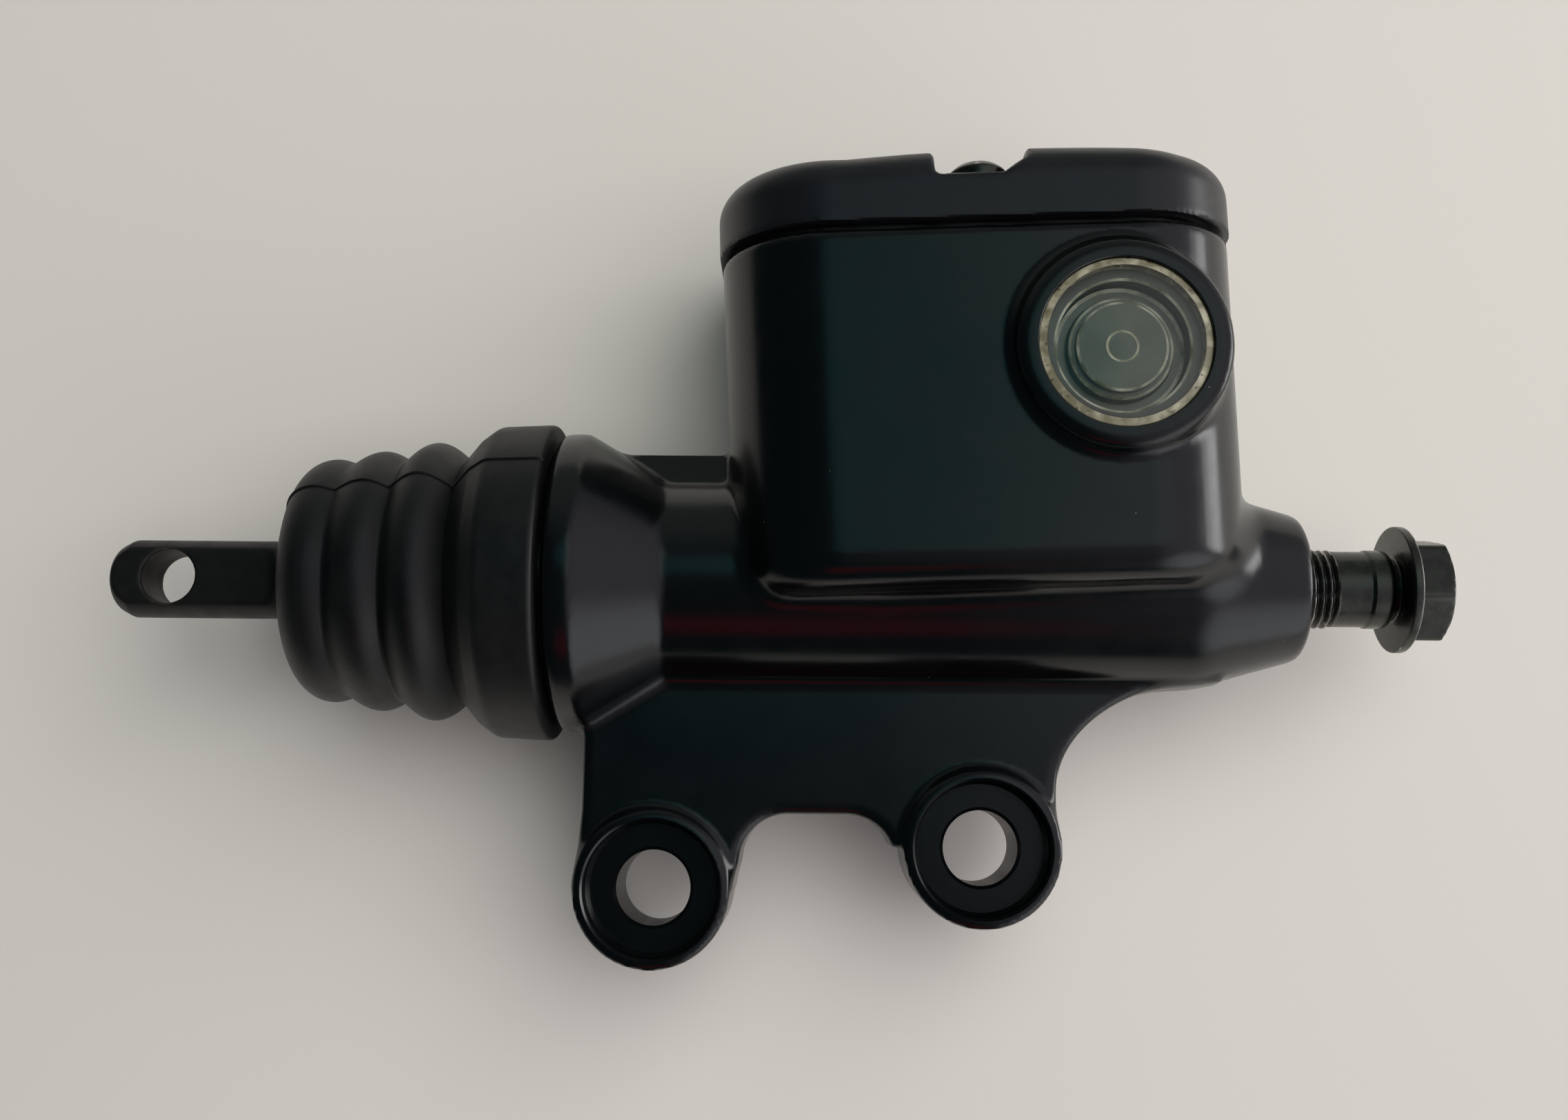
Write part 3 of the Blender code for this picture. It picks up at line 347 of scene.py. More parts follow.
def powderCoatedCover():
    # black powder coat on a cast cover: satin, with a fine peel and rubbed edges
    look = {"dark": "#0c0d0f", "light": "#15161a", "rubbed": "#2c2c2b", "cloud": 9, "peel": 0.6,
            "gloss": (0.3, 0.4)}
    dark, light = hexColour(look["dark"]), hexColour(look["light"])
    material, tree, shader, place = newMaterial("powderCoatedCover")
    cloud = addNode(tree, "TexNoise", {"Scale": perMm(look["cloud"]), "Detail": 5}, {"Vector": place})
    tone = addNode(tree, "Mix", {"data_type": "RGBA", 6: dark, 7: light}, {0: cloud.outputs["Fac"]})
    edge = addNode(tree, "NewGeometry")
    rub = addNode(tree, "MapRange", {1: 0.54, 2: 0.62, 3: 0.0, 4: 0.5}, {0: edge.outputs["Pointiness"]})
    worn = addNode(tree, "Mix", {"data_type": "RGBA", 7: hexColour(look["rubbed"])},
                   {0: rub.outputs[0], 6: tone.outputs[2]})
    gloss = addNode(tree, "MapRange", {1: 0.3, 2: 0.7, 3: look["gloss"][0], 4: look["gloss"][1]},
                    {0: cloud.outputs["Fac"]})
    peel = addNode(tree, "TexNoise", {"Scale": perMm(look["peel"]), "Detail": 2}, {"Vector": place})
    skin = addNode(tree, "Bump", {"Strength": 0.2, "Distance": 0.04 * mm}, {"Height": peel.outputs["Fac"]})
    tree.links.new(worn.outputs[2], shader.inputs["Base Color"])
    tree.links.new(gloss.outputs[0], shader.inputs["Roughness"])
    tree.links.new(skin.outputs["Normal"], shader.inputs["Normal"])
    return material


def mouldedRubber(name, dark, light, grain, gloss, patchSize=6):
    # EPDM or nitrile rubber from a blasted mould: dull black, fine grain, a grey bloom in patches
    material, tree, shader, place = newMaterial(name)
    bloom = addNode(tree, "TexNoise", {"Scale": perMm(patchSize), "Detail": 6, "Roughness": 0.65},
                    {"Vector": place})
    patch = addNode(tree, "MapRange", {1: 0.35, 2: 0.75}, {0: bloom.outputs["Fac"]})
    tone = addNode(tree, "Mix", {"data_type": "RGBA", 6: hexColour(dark), 7: hexColour(light)},
                   {0: patch.outputs[0]})
    dull = addNode(tree, "MapRange", {1: 0.3, 2: 0.7, 3: gloss[0], 4: gloss[1]}, {0: bloom.outputs["Fac"]})
    pits = addNode(tree, "TexNoise", {"Scale": perMm(grain), "Detail": 3}, {"Vector": place})
    skin = addNode(tree, "Bump", {"Strength": 0.35, "Distance": 0.06 * mm}, {"Height": pits.outputs["Fac"]})
    tree.links.new(tone.outputs[2], shader.inputs["Base Color"])
    tree.links.new(dull.outputs[0], shader.inputs["Roughness"])
    tree.links.new(skin.outputs["Normal"], shader.inputs["Normal"])
    return material


def wornSteel(name, dark, light, bare, metallic, gloss, grain, wear, pit=0.3):
    # steel under a thin black film: mottled, with bare metal where edges and crests have rubbed
    material, tree, shader, place = newMaterial(name)
    mottle = addNode(tree, "TexNoise", {"Scale": perMm(grain), "Detail": 6, "Roughness": 0.6},
                     {"Vector": place})
    tone = addNode(tree, "Mix", {"data_type": "RGBA", 6: hexColour(dark), 7: hexColour(light)},
                   {0: mottle.outputs["Fac"]})
    edge = addNode(tree, "NewGeometry")
    rub = addNode(tree, "MapRange", {1: wear[0], 2: wear[1]}, {0: edge.outputs["Pointiness"]})
    patchy = addNode(tree, "Math", {"operation": "MULTIPLY"}, {0: rub.outputs[0], 1: mottle.outputs["Fac"]})
    worn = addNode(tree, "Mix", {"data_type": "RGBA", 7: hexColour(bare)},
                   {0: patchy.outputs[0], 6: tone.outputs[2]})
    shine = addNode(tree, "MapRange", {1: 0.3, 2: 0.7, 3: gloss[0], 4: gloss[1]}, {0: mottle.outputs["Fac"]})
    pits = addNode(tree, "TexNoise", {"Scale": perMm(pit), "Detail": 2}, {"Vector": place})
    skin = addNode(tree, "Bump", {"Strength": 0.2, "Distance": 0.03 * mm}, {"Height": pits.outputs["Fac"]})
    tree.links.new(worn.outputs[2], shader.inputs["Base Color"])
    tree.links.new(shine.outputs[0], shader.inputs["Roughness"])
    tree.links.new(skin.outputs["Normal"], shader.inputs["Normal"])
    shader.inputs["Metallic"].default_value = metallic
    return material


def turnedMetal(name, colour, gloss, feed, ridge="#8b8b88"):
    # bare metal from a lathe or a drill: fine tool rings along the bore, drawn about six times as coarse
    # as the tool's feed so that they show
    material, tree, shader, place = newMaterial(name)
    rings = addNode(tree, "TexWave", {"bands_direction": "X", "Scale": perMm(feed) / 20, "Distortion": 1.5},
                    {"Vector": place})
    tint = addNode(tree, "Mix", {"data_type": "RGBA", 6: hexColour(colour), 7: hexColour(ridge)},
                   {0: rings.outputs["Fac"]})
    shine = addNode(tree, "MapRange", {3: gloss[0], 4: gloss[1]}, {0: rings.outputs["Fac"]})
    tree.links.new(tint.outputs[2], shader.inputs["Base Color"])
    tree.links.new(shine.outputs[0], shader.inputs["Roughness"])
    shader.inputs["Metallic"].default_value = 1.0
    return material


def mouldedLens():
    # clear moulded polycarbonate, polished on its face: the steps behind show through it
    material, shader = newMaterial("mouldedPolycarbonate")[::2]
    shader.inputs["Base Color"].default_value = hexColour("#eef2ea")
    shader.inputs["Roughness"].default_value = 0.02
    shader.inputs["IOR"].default_value = 1.58
    shader.inputs["Transmission Weight"].default_value = 1.0
    return material


def lensBack(name, dark, light, patch):
    # the polycarbonate lens's moulded back, wet with old fluid: cloudy green; made pale it gives painted
    # highlights along the steps, and made dark a painted shade inside the rim
    material, tree, shader, place = newMaterial(name)
    haze = addNode(tree, "TexNoise", {"Scale": perMm(patch), "Detail": 4}, {"Vector": place})
    cloud = addNode(tree, "MapRange", {1: 0.36, 2: 0.64}, {0: haze.outputs["Fac"]})
    tone = addNode(tree, "Mix", {"data_type": "RGBA", 6: hexColour(dark), 7: hexColour(light)},
                   {0: cloud.outputs[0]})
    tree.links.new(tone.outputs[2], shader.inputs["Base Color"])
    shader.inputs["Roughness"].default_value = 0.4
    return material


def frostedLensEdge():
    # the lens's ground and glued edge: pale, yellowed, with brown specks
    look = {"dark": "#857f66", "light": "#cdc8ae", "speck": "#4f4432", "stain": 1.6, "spot": 0.9}
    dark, light = hexColour(look["dark"]), hexColour(look["light"])
    material, tree, shader, place = newMaterial("groundPolycarbonateEdge")
    stain = addNode(tree, "TexNoise", {"Scale": perMm(look["stain"]), "Detail": 5}, {"Vector": place})
    patch = addNode(tree, "MapRange", {1: 0.42, 2: 0.68}, {0: stain.outputs["Fac"]})
    tone = addNode(tree, "Mix", {"data_type": "RGBA", 6: dark, 7: light}, {0: patch.outputs[0]})
    speck = addNode(tree, "TexNoise", {"Scale": perMm(look["spot"]), "Detail": 3}, {"Vector": place})
    spots = addNode(tree, "MapRange", {1: 0.6, 2: 0.7}, {0: speck.outputs["Fac"]})
    glued = addNode(tree, "Mix", {"data_type": "RGBA", 7: hexColour(look["speck"])},
                    {0: spots.outputs[0], 6: tone.outputs[2]})
    tree.links.new(glued.outputs[2], shader.inputs["Base Color"])
    shader.inputs["Roughness"].default_value = 0.35
    shader.inputs["IOR"].default_value = 1.58
    shader.inputs["Transmission Weight"].default_value = 0.35
    return material


coat = electrocoatedCasting()
coverCoat = powderCoatedCover()
bootRubber = mouldedRubber("mouldedBootRubber", "#060707", "#111212", 0.45, (0.42, 0.56))
sealRubber = mouldedRubber("mouldedSealRubber", "#080808", "#101010", 0.4, (0.4, 0.55))
phosphate = wornSteel("phosphatedSteel", "#0c0c0c", "#1a1917", "#6a655c", 0.2, (0.42, 0.58), 2.5,
                      (0.53, 0.62))
blackOxide = wornSteel("blackOxideSteel", "#3c3d39", "#60615c", "#cfcdc4", 1.0, (0.2, 0.36), 1.5,
                       (0.55, 0.64))
rubbedSteel = turnedMetal("rubbedSteel", "#f4f1ea", (0.3, 0.45), 0.2)
drilledAluminium = turnedMetal("drilledAluminium", "#4d4e4d", (0.35, 0.5), 0.4)
anodised = turnedMetal("anodisedAluminium", "#7d7f83", (0.25, 0.4), 0.3)
plainSteel = turnedMetal("zincPlatedSteel", "#a4a5a3", (0.2, 0.35), 0.3)
lensPlastic = mouldedLens()
lensEdge = frostedLensEdge()
lensInside = lensBack("cloudedPolycarbonateBack", "#2d382c", "#3f4c3d", 4)
# painted highlights: near-white strips of the lens's back stand in for light glinting on its steps and hub
# ring
lensPaintedHighlight = lensBack("paintedHighlightPolycarbonateStep", "#7d826a", "#fffdee", 3)
# painted shade: a dark ring on the lens's back between its hub and rim
lensPaintedShade = lensBack("paintedShadePolycarbonateRim", "#15191c", "#2e322b", 5)
print("finishes made")


def dress(obj, body, slot, *materials, replaced=()):
    obj.data.materials.clear()
    for material in materials:
        obj.data.materials.append(material)
    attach(obj, body)
    if replaced:
        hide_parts(*replaced)


# Housing: one casting with fillets, then the machined cuts

housingSizes = {
    "pitch": 0.5,
    "room": ((-41, -51, -24), (65, 45, 25)),
    "barrel": [(-38.0, 0), (-38.0, 16.5, 0.5), (-32.1, 16.5, 0.3), (-32.1, 18.9, 1.4), (-28.8, 18.9, 2.0),
               (-18.7, 12.9, 2.4), (47.0, 12.9, 12.0), (60.5, 9.1, 1.5), (60.5, 0)],
    "bore": [(-39.0, 0), (-39.0, 13.0), (-33.0, 10.5), (-32.6, 10.5), (-32.6, 11.6), (-31.0, 11.6),
             (-31.0, 10.5), (-29.8, 10.5), (-29.8, 7.95), (45.0, 7.95), (45.0, 2.0), (47.0, 2.0),
             (47.0, 5.3), (60.0, 5.3), (62.0, 7.3), (62.0, 0)],
    "bareFrom": -33.0,
    "bareWithin": ((-29.5, 11.7), (46.0, 8.2), (62.0, 5.45)),  # up to this x, just over the bore's radius
    "shell": {"half": (31.5, 20.0), "draft": 0.012, "corner": 13.5, "low": -2.0, "lowRound": 4.0,
              "rim": 40.9, "rimRound": 0.8, "wall": 3.5, "floor": 8.0, "floorRound": 1.5, "open": 60.0,
              "mouthRound": 0.3},
    "post": {"radius": 4.2, "root": 1.0, "below": 0.1, "topRound": 0.2, "fillet": 0.6,
             "drill": (33.0, 42.0, 2.3)},
    "glass": {"at": (15.5, 25.45), "boss": 12.75, "root": 13.5, "front": 22.0, "frontRound": 1.4,
              "hole": 10.16, "bevel": 0.1, "shelf": 17.0, "hub": 7.9, "hubEnd": 5.0},
    "ears": ((-19.8, -37.95), (20.5, -32.7)),
    "ear": {"radius": 9.6, "face": 5.0, "rounds": (0.5, 0.6), "seat": 8.3, "seatAt": 1.3, "seatRound": 0.5,
            "seatBevel": 0.25, "hole": 4.6, "holeBevel": 0.4, "bareMargin": 0.1},
    "spine": {"section": [(0, 9.5), (12.3, 4.3), (15.8, 2.7), (15.8, -7.5), (0, -9.5)],  # across y and z
              "end": -6.0, "round": 0.4},
    "web": {"front": 4.0, "back": -10.0, "rounds": (0.5, 0.9), "left": -28.6, "inset": 0.5,
            "sweep": (20.2, 14.0), "sweepTop": -11.9, "archTop": -28.8, "archCorner": 6.0, "archGap": 1.0},
    "fillets": {"web": 1.3, "spine": 0.5, "ear": 0.9, "glass": 1.3,
                "reservoir": ((-10, 8), (1.2, 2.6))},  # this one widens along the barrel
    "overrun": 2.0,  # how far a tool starts outside the face that it cuts
}


def webOutline():
    web, ear = housingSizes["web"], housingSizes["ear"]["radius"]
    (leftX, leftY), (rightX, rightY) = housingSizes["ears"]
    edge = rightX + ear - web["inset"]
    sweepX, sweepY = edge + web["sweep"][0], web["sweepTop"] - web["sweep"][1]
    outline = [(web["left"], 0), (sweepX, 0)]
    outline += arcPoints((sweepX, sweepY), web["sweep"], 90, 180, 24)
    outline += [(edge, rightY), (rightX, rightY), (rightX - ear, rightY)]
    corner, gap = web["archCorner"], web["archGap"]
    low = web["archTop"] - corner
    outline += arcPoints((rightX - ear - gap - corner, low), corner, 20, 90, 16)
    outline += arcPoints((leftX + ear + gap + corner, low), corner, 90, 180, 20)
    return outline + [(leftX + ear, leftY), (leftX, leftY), (leftX - ear, leftY), (web["left"], leftY + ear)]


def castBody(x, y, z):
    web, shell, glass = housingSizes["web"], housingSizes["shell"], housingSizes["glass"]
    ear, post, spine = housingSizes["ear"], housingSizes["post"], housingSizes["spine"]
    fillets = housingSizes["fillets"]
    u, v, w = reservoirPlace(x, y, z)
    body = turnedDistance(x, y, z, softPath(housingSizes["barrel"]))
    plate = slab(outlineDistance(x, y, webOutline()), z, web["back"], web["front"], *web["rounds"])
    body = joined(body, plate, fillets["web"])
    ridge = slab(outlineDistance(y, z, spine["section"]), x, web["left"], spine["end"])
    body = joined(body, ridge - spine["round"], fillets["spine"])
    for earX, earY in housingSizes["ears"]:
        disc = np.hypot(x - earX, y - earY) - ear["radius"]
        body = joined(body, slab(disc, z, web["back"], ear["face"], *ear["rounds"]), fillets["ear"])
    halfU = shell["half"][0] + shell["draft"] * (v - shell["rim"] / 2)  # a little wider at the rim
    outside = rectangleDistance(u, w, halfU, shell["half"][1], shell["corner"])
    box = slab(outside, v, shell["low"], shell["rim"], shell["lowRound"], shell["rimRound"])
    disc = np.hypot(u - glass["at"][0], v - glass["at"][1]) - glass["boss"]
    boss = slab(disc, w, glass["root"], glass["front"], 0, glass["frontRound"])
    box = joined(box, boss, fillets["glass"])
    body = joined(body, box, np.interp(x, *fillets["reservoir"]))
    halfU, halfW = (half - shell["wall"] for half in shell["half"])
    inside = rectangleDistance(u, w, halfU, halfW, shell["corner"] - shell["wall"])
    cavity = slab(inside, v, shell["floor"], shell["open"], shell["floorRound"], 0)
    body = cutAway(body, cavity, shell["mouthRound"])
    low, high = shell["floor"] - post["root"], shell["rim"] - post["below"]
    for side in (1, -1):
        disc = np.hypot(u, w - side * layout["screwOut"]) - post["radius"]
        body = joined(body, slab(disc, v, low, high, 0, post["topRound"]), post["fillet"])
    return body


def flare(face, radius, bevel, way=1):
    # the bevelled end of a hole, run on past the face
    past = housingSizes["overrun"]
    return [(face - way * bevel, radius), (face + way * past, radius + bevel + past), (face + way * past, 0)]


def housingTools():
    glass, ear, web = housingSizes["glass"], housingSizes["ear"], housingSizes["web"]
    tools = [turned("boreTool", housingSizes["bore"], alongBore, 128)]
    lensHole = [(glass["hubEnd"], 0), (glass["hubEnd"], glass["hub"]), (glass["shelf"], glass["hub"]),
                (glass["shelf"], glass["hole"])]
    lensHole += flare(glass["front"], glass["hole"], glass["bevel"])
    at = Matrix.Translation((*glass["at"], 0))
    tools.append(turned("lensTool", lensHole, inReservoir @ at @ turnToZ, 128))
    hole, seat, seatAt = ear["hole"], ear["seat"], ear["seatAt"]
    earHole = flare(web["back"], hole, ear["holeBevel"], -1)[::-1]
    earHole += [(seatAt - ear["holeBevel"], hole), (seatAt, hole + ear["holeBevel"]),
                (seatAt, seat - ear["seatRound"]), (seatAt + ear["seatRound"], seat)]
    earHole += flare(ear["face"], seat, ear["seatBevel"])
    for place in housingSizes["ears"]:
        at = Matrix.Translation((*place, 0))
        tools.append(turned("earTool", earHole, alongBore @ at @ turnToZ, 128))
    for side in (1, -1):
        at = Matrix.Translation((0, 0, side * layout["screwOut"]))
        tools.append(drillTool("screwTool", housingSizes["post"]["drill"], inReservoir @ at @ turnToY, 32))
    return tools


def markHoles(obj):
    # faces of the drilled holes and of the bore show bare metal
    x, y, radius = faceMiddles(obj)
    bare = np.zeros(len(x), bool)
    for end, limit in housingSizes["bareWithin"]:
        bare |= (x < end) & (radius < limit)
    bare &= x > housingSizes["bareFrom"]
    ear = housingSizes["ear"]
    for earX, earY in housingSizes["ears"]:
        bare |= np.hypot(x - earX, y - earY) < ear["hole"] + ear["bareMargin"]
    obj.data.polygons.foreach_set("material_index", bare.astype(np.int32))


housing = skinOf("castHousing", castBody, *housingSizes["room"], housingSizes["pitch"])
machine(housing, *housingTools())
dress(housing, "housing", "cast_housing", coat, drilledAluminium, replaced=["housing"])
markHoles(housing)
print("housing made")

# Cover: crowned, with a pocket for each screw and a hollow underside

coverSizes = {
    "pitch": 0.4,
    "room": ((-14, 37, -24), (56, 53, 23)),
    "half": (32.1, 20.6), "corner": 14.1,
    "bottom": 41.6, "bottomRound": 0.2, "top": 50.5, "topRound": 4.2,
    "crown": {"rise": 0.7, "at": 4.0, "reach": 20.0},
    "pocket": {"radius": 5.6, "floor": 47.2, "floorRound": 0.7, "rimRound": 0.5, "run": (2.6, 0.75)},
    "hollow": {"half": (28.6, 10.1), "corner": 6.9, "top": 46.1, "topRound": 1.0, "mouthRound": 0.3},
    "screwHole": 2.3,
    "below": 30.0,  # heights well past the cover, for cuts that run out of it
    "above": 70.0,
}


def coverBody(x, y, z):
    s, crown, pocket, hollow = coverSizes, coverSizes["crown"], coverSizes["pocket"], coverSizes["hollow"]
    u, v, w = reservoirPlace(x, y, z)
    share = np.clip((v - s["bottom"]) / (s["top"] - s["bottom"]), 0, 1)
    rise = crown["rise"] * share * np.maximum(1 - ((u - crown["at"]) / crown["reach"]) ** 2, 0)
    outside = rectangleDistance(u, w, *s["half"], s["corner"])
    body = slab(outside, v - rise, s["bottom"], s["top"], s["bottomRound"], s["topRound"])
    start, slope = pocket["run"]
    climb = slope * np.maximum(u - start, 0)  # one end of the pocket's floor runs up
    for side in (1, -1):
        out = side * w - layout["screwOut"]
        slot = np.hypot(u, np.minimum(out, 0)) - pocket["radius"]
        slot = slab(slot, v - climb, pocket["floor"], s["above"], pocket["floorRound"], 0)
        body = cutAway(body, slot, pocket["rimRound"])
        body = np.maximum(body, -slab(np.hypot(u, out) - s["screwHole"], v, s["below"], s["above"]))
    inside = rectangleDistance(u, w, *hollow["half"], hollow["corner"])
    inside = slab(inside, v, s["below"], hollow["top"], 0, hollow["topRound"])
    return cutAway(body, inside, hollow["mouthRound"])


cover = skinOf("castCover", coverBody, *coverSizes["room"], coverSizes["pitch"])
dress(cover, "housing", "cover", coverCoat, replaced=["reservoir_cover"])

# Gasket: a rim between cover and reservoir, with a pan that hangs into the fluid

gasketSizes = {
    "pitch": coverSizes["pitch"],
    "room": ((-12, 31, -21), (54, 44, 20)),
    "half": (30.3, 18.8), "corner": 12.3, "low": 40.6, "high": 41.7, "round": 0.3,
    "pan": {"half": (23.5, 9.8), "corner": 6.6, "depth": 6.0, "wall": 1.2, "round": 1.0, "wellRound": 0.8},
}


def gasketBody(x, y, z):
    s, pan = gasketSizes, gasketSizes["pan"]
    wall = pan["wall"]
    floor = s["low"] - pan["depth"]
    u, v, w = reservoirPlace(x, y, z)
    rim = rectangleDistance(u, w, *s["half"], s["corner"])
    rim = slab(rim, v, s["low"], s["high"], s["round"], s["round"])
    tray = rectangleDistance(u, w, *pan["half"], pan["corner"])
    tray = slab(tray, v, floor, s["high"], pan["round"], 0)
    halfU, halfW = (half - wall for half in pan["half"])
    well = rectangleDistance(u, w, halfU, halfW, pan["corner"] - wall)
    well = slab(well, v, floor + wall, coverSizes["above"], pan["wellRound"], 0)
    body = np.maximum(np.minimum(rim, tray), -well)
    for side in (1, -1):
        body = np.maximum(body, coverSizes["screwHole"] - np.hypot(u, w - side * layout["screwOut"]))
    return body


gasket = skinOf("mouldedGasket", gasketBody, *gasketSizes["room"], gasketSizes["pitch"])
dress(gasket, "housing", "seal_rubber", sealRubber, replaced=["reservoir_gasket"])

# Cover screws, with a cross recess in a rounded head

screwSizes = {
    "path": [(34.6, 0), (34.6, 1.2), (35.4, 2.0), (47.4, 2.0, 0.2), (47.4, 3.5, 0.15), (48.95, 3.5, 0.5),
             (49.85, 2.4, 1.2), (49.85, 0)],
    "recess": [(48.7, 0), (48.7, 0.9), (50.7, 1.6), (50.7, 0)],
    "recessTurns": (20, 110),  # two flat slots make the cross
    "recessFlat": 0.32,
}


def coverScrew(name, side, node):
    at = inReservoir @ Matrix.Translation((0, 0, side * layout["screwOut"]))
    screw = turned(name, softPath(screwSizes["path"]), at @ turnToY, 64)
    flatten = Matrix.Diagonal((1, 1, screwSizes["recessFlat"], 1))
    for turn in screwSizes["recessTurns"]:
        place = at @ Matrix.Rotation(math.radians(turn), 4, "Y") @ flatten @ turnToY
        machine(screw, turned("recess", screwSizes["recess"], place, 4))
    dress(screw, "housing", "black_steel", blackOxide, replaced=[node])


coverScrew("frontCoverScrew", 1, "cover_screw_front")
coverScrew("rearCoverScrew", -1, "cover_screw_rear")
print("cover made")

# Sight glass: a stepped clear lens with a ground edge, and its seal

lensSizes = {
    "radius": 10.1, "face": 21.85, "bevel": (1.0, 0.3), "edge": 0.1, "disc": 18.8,
    "hub": 7.7, "hubEnd": 14.6, "hubBevel": 0.6, "land": 7.0, "landRun": 0.42, "lip": 0.2,
    "cup": 6.0, "cupStep": 16.6, "inner": 5.3, "cupEnd": 18.2,
    "ring": 1.78, "ringDepth": 0.3, "ringPaintedHighlightWidth": 0.14,
    "paintedHighlightWidth": 0.3,  # width of the painted highlight, a pale band along each step
    "steps": 128,
    "seal": {"at": (17.9, 8.5), "radius": 0.6, "sides": 24},
}


def sightGlass():
    # rows run from the middle of the cup's floor, out round the hub, to the middle of the front;
    # a row's last word is the finish of the faces up to the next row
    s = lensSizes
    clear, ground, cloudy, paintedHighlight, paintedShade = range(5)
    floor, inner, step, cup = s["cupEnd"], s["inner"], s["cupStep"], s["cup"]
    end, land, hub, disc = s["hubEnd"], s["land"], s["hub"], s["disc"]
    ring, ringPaintedHighlightWidth, paintedHighlightWidth, lip = s["ring"], s["ringPaintedHighlightWidth"], s["paintedHighlightWidth"], s["lip"]
    radius, face, edge = s["radius"], s["face"], s["edge"]
    wide, high = s["bevel"]
    # rows marked paintedHighlight are painted highlights, thin pale bands along the steps and round the hub
    # ring
    rows = [(floor, 0, cloudy), (floor, ring - ringPaintedHighlightWidth, paintedHighlight), (floor - s["ringDepth"], ring, paintedHighlight),
            (floor, ring + ringPaintedHighlightWidth, cloudy), (floor, inner - paintedHighlightWidth, paintedHighlight), (floor - paintedHighlightWidth, inner, cloudy),
            (step, inner, cloudy), (step, cup - paintedHighlightWidth, paintedHighlight), (step - paintedHighlightWidth, cup, cloudy),
            (end + lip, cup, cloudy), (end, cup + lip, cloudy), (end, land, paintedHighlight),
            (end + paintedHighlightWidth, land + s["landRun"], cloudy), (end + s["hubBevel"], hub, cloudy),
            # the back ring from the hub out to the rim carries a painted shade
            (disc - paintedHighlightWidth, hub, paintedHighlight), (disc, hub + paintedHighlightWidth, paintedShade), (disc, radius - wide, ground),
            (disc, radius - edge, ground), (disc + edge, radius, ground),
            (face - high - edge, radius, ground), (face - high, radius - 0.8 * edge, ground),
            (face - 0.5 * edge, radius - wide + edge, clear), (face, radius - wide - edge, clear),
            (face, 0, clear)]
    at = inReservoir @ Matrix.Translation((*housingSizes["glass"]["at"], 0)) @ turnToZ
    lens = turned("sightGlass", [row[:2] for row in rows], at, s["steps"])
    smoothShade(lens, 30)
    dress(lens, "housing", "lens", lensPlastic, lensEdge, lensInside, lensPaintedHighlight, lensPaintedShade,
          replaced=["sight_glass"])
    kinds = np.repeat([row[2] for row in rows[:-1]], s["steps"]).tolist() + [cloudy, clear]
    lens.data.polygons.foreach_set("material_index", np.array(kinds, np.int32))
    seal = s["seal"]
    section = arcPoints(seal["at"], seal["radius"], 0, 360 - 360 / seal["sides"], seal["sides"] - 1)
    sealRing = turned("lensSeal", section, at, 96, ring=True)
    dress(smoothShade(sealRing), "housing", "seal_rubber", sealRubber, replaced=["sight_glass_oring"])


sightGlass()
print("sight glass made")

# Boot: moulded bellows with a parting line, and the neck that grips the rod

bootSizes = {
    "lip": [(-32.8, 16.8), (-32.8, 20.05, 0.8), (-39.7, 19.75, 2.2), (-41.7, 18.3, 1.0), (-44.2, 15.4)],
    "crests": ((-48.0, 17.7), (-54.8, 16.55), (-61.0, 15.5)),
    "valleys": ((-51.85, 15.3), (-58.6, 14.85)),
    "end": -65.2, "hole": 7.2, "flatTo": 10.8, "wall": 1.6,
    "still": -37.8,  # just inside the housing's mouth
    "seam": 0.22, "seamTurn": math.radians(40.5),
    "neck": [(-66.2, 5.05, 0.2), (-66.2, 9.2, 0.5), (-65.6, 9.2, 0.2), (-65.6, 7.4, 0.3), (-63.5, 6.4, 0.3),
             (-63.5, 5.05)],
    "steps": 14,
    "softRows": (30, -4),  # between these rows of the outline the roots of the ribs are eased
    "seamRows": (2, -2),
    "innerRow": 8,  # the inside follows the outline from here
}


def bootOuter():
    s = bootSizes
    outer = softPath(s["lip"])
    low = s["lip"][-1]
    for i, (crestX, crestR) in enumerate(s["crests"]):
        last = i == len(s["crests"]) - 1
        following = None if last else s["valleys"][i]
        for share in np.linspace(-1, 0 if last else 1, s["steps"] if last else 2 * s["steps"])[1:]:
            far = low if share < 0 or last else following
            outer.append((crestX + (far[0] - crestX) * abs(share),
                          far[1] + (crestR - far[1]) * math.cos(share * math.pi / 2)))
        low = following
    crestX, crestR = s["crests"][-1]
    shoulder = (crestX - s["end"], crestR - s["flatTo"])
    outer += arcPoints((crestX, s["flatTo"]), shoulder, 90, 180, s["steps"])[1:]
    return outer + [(s["end"], s["hole"])]


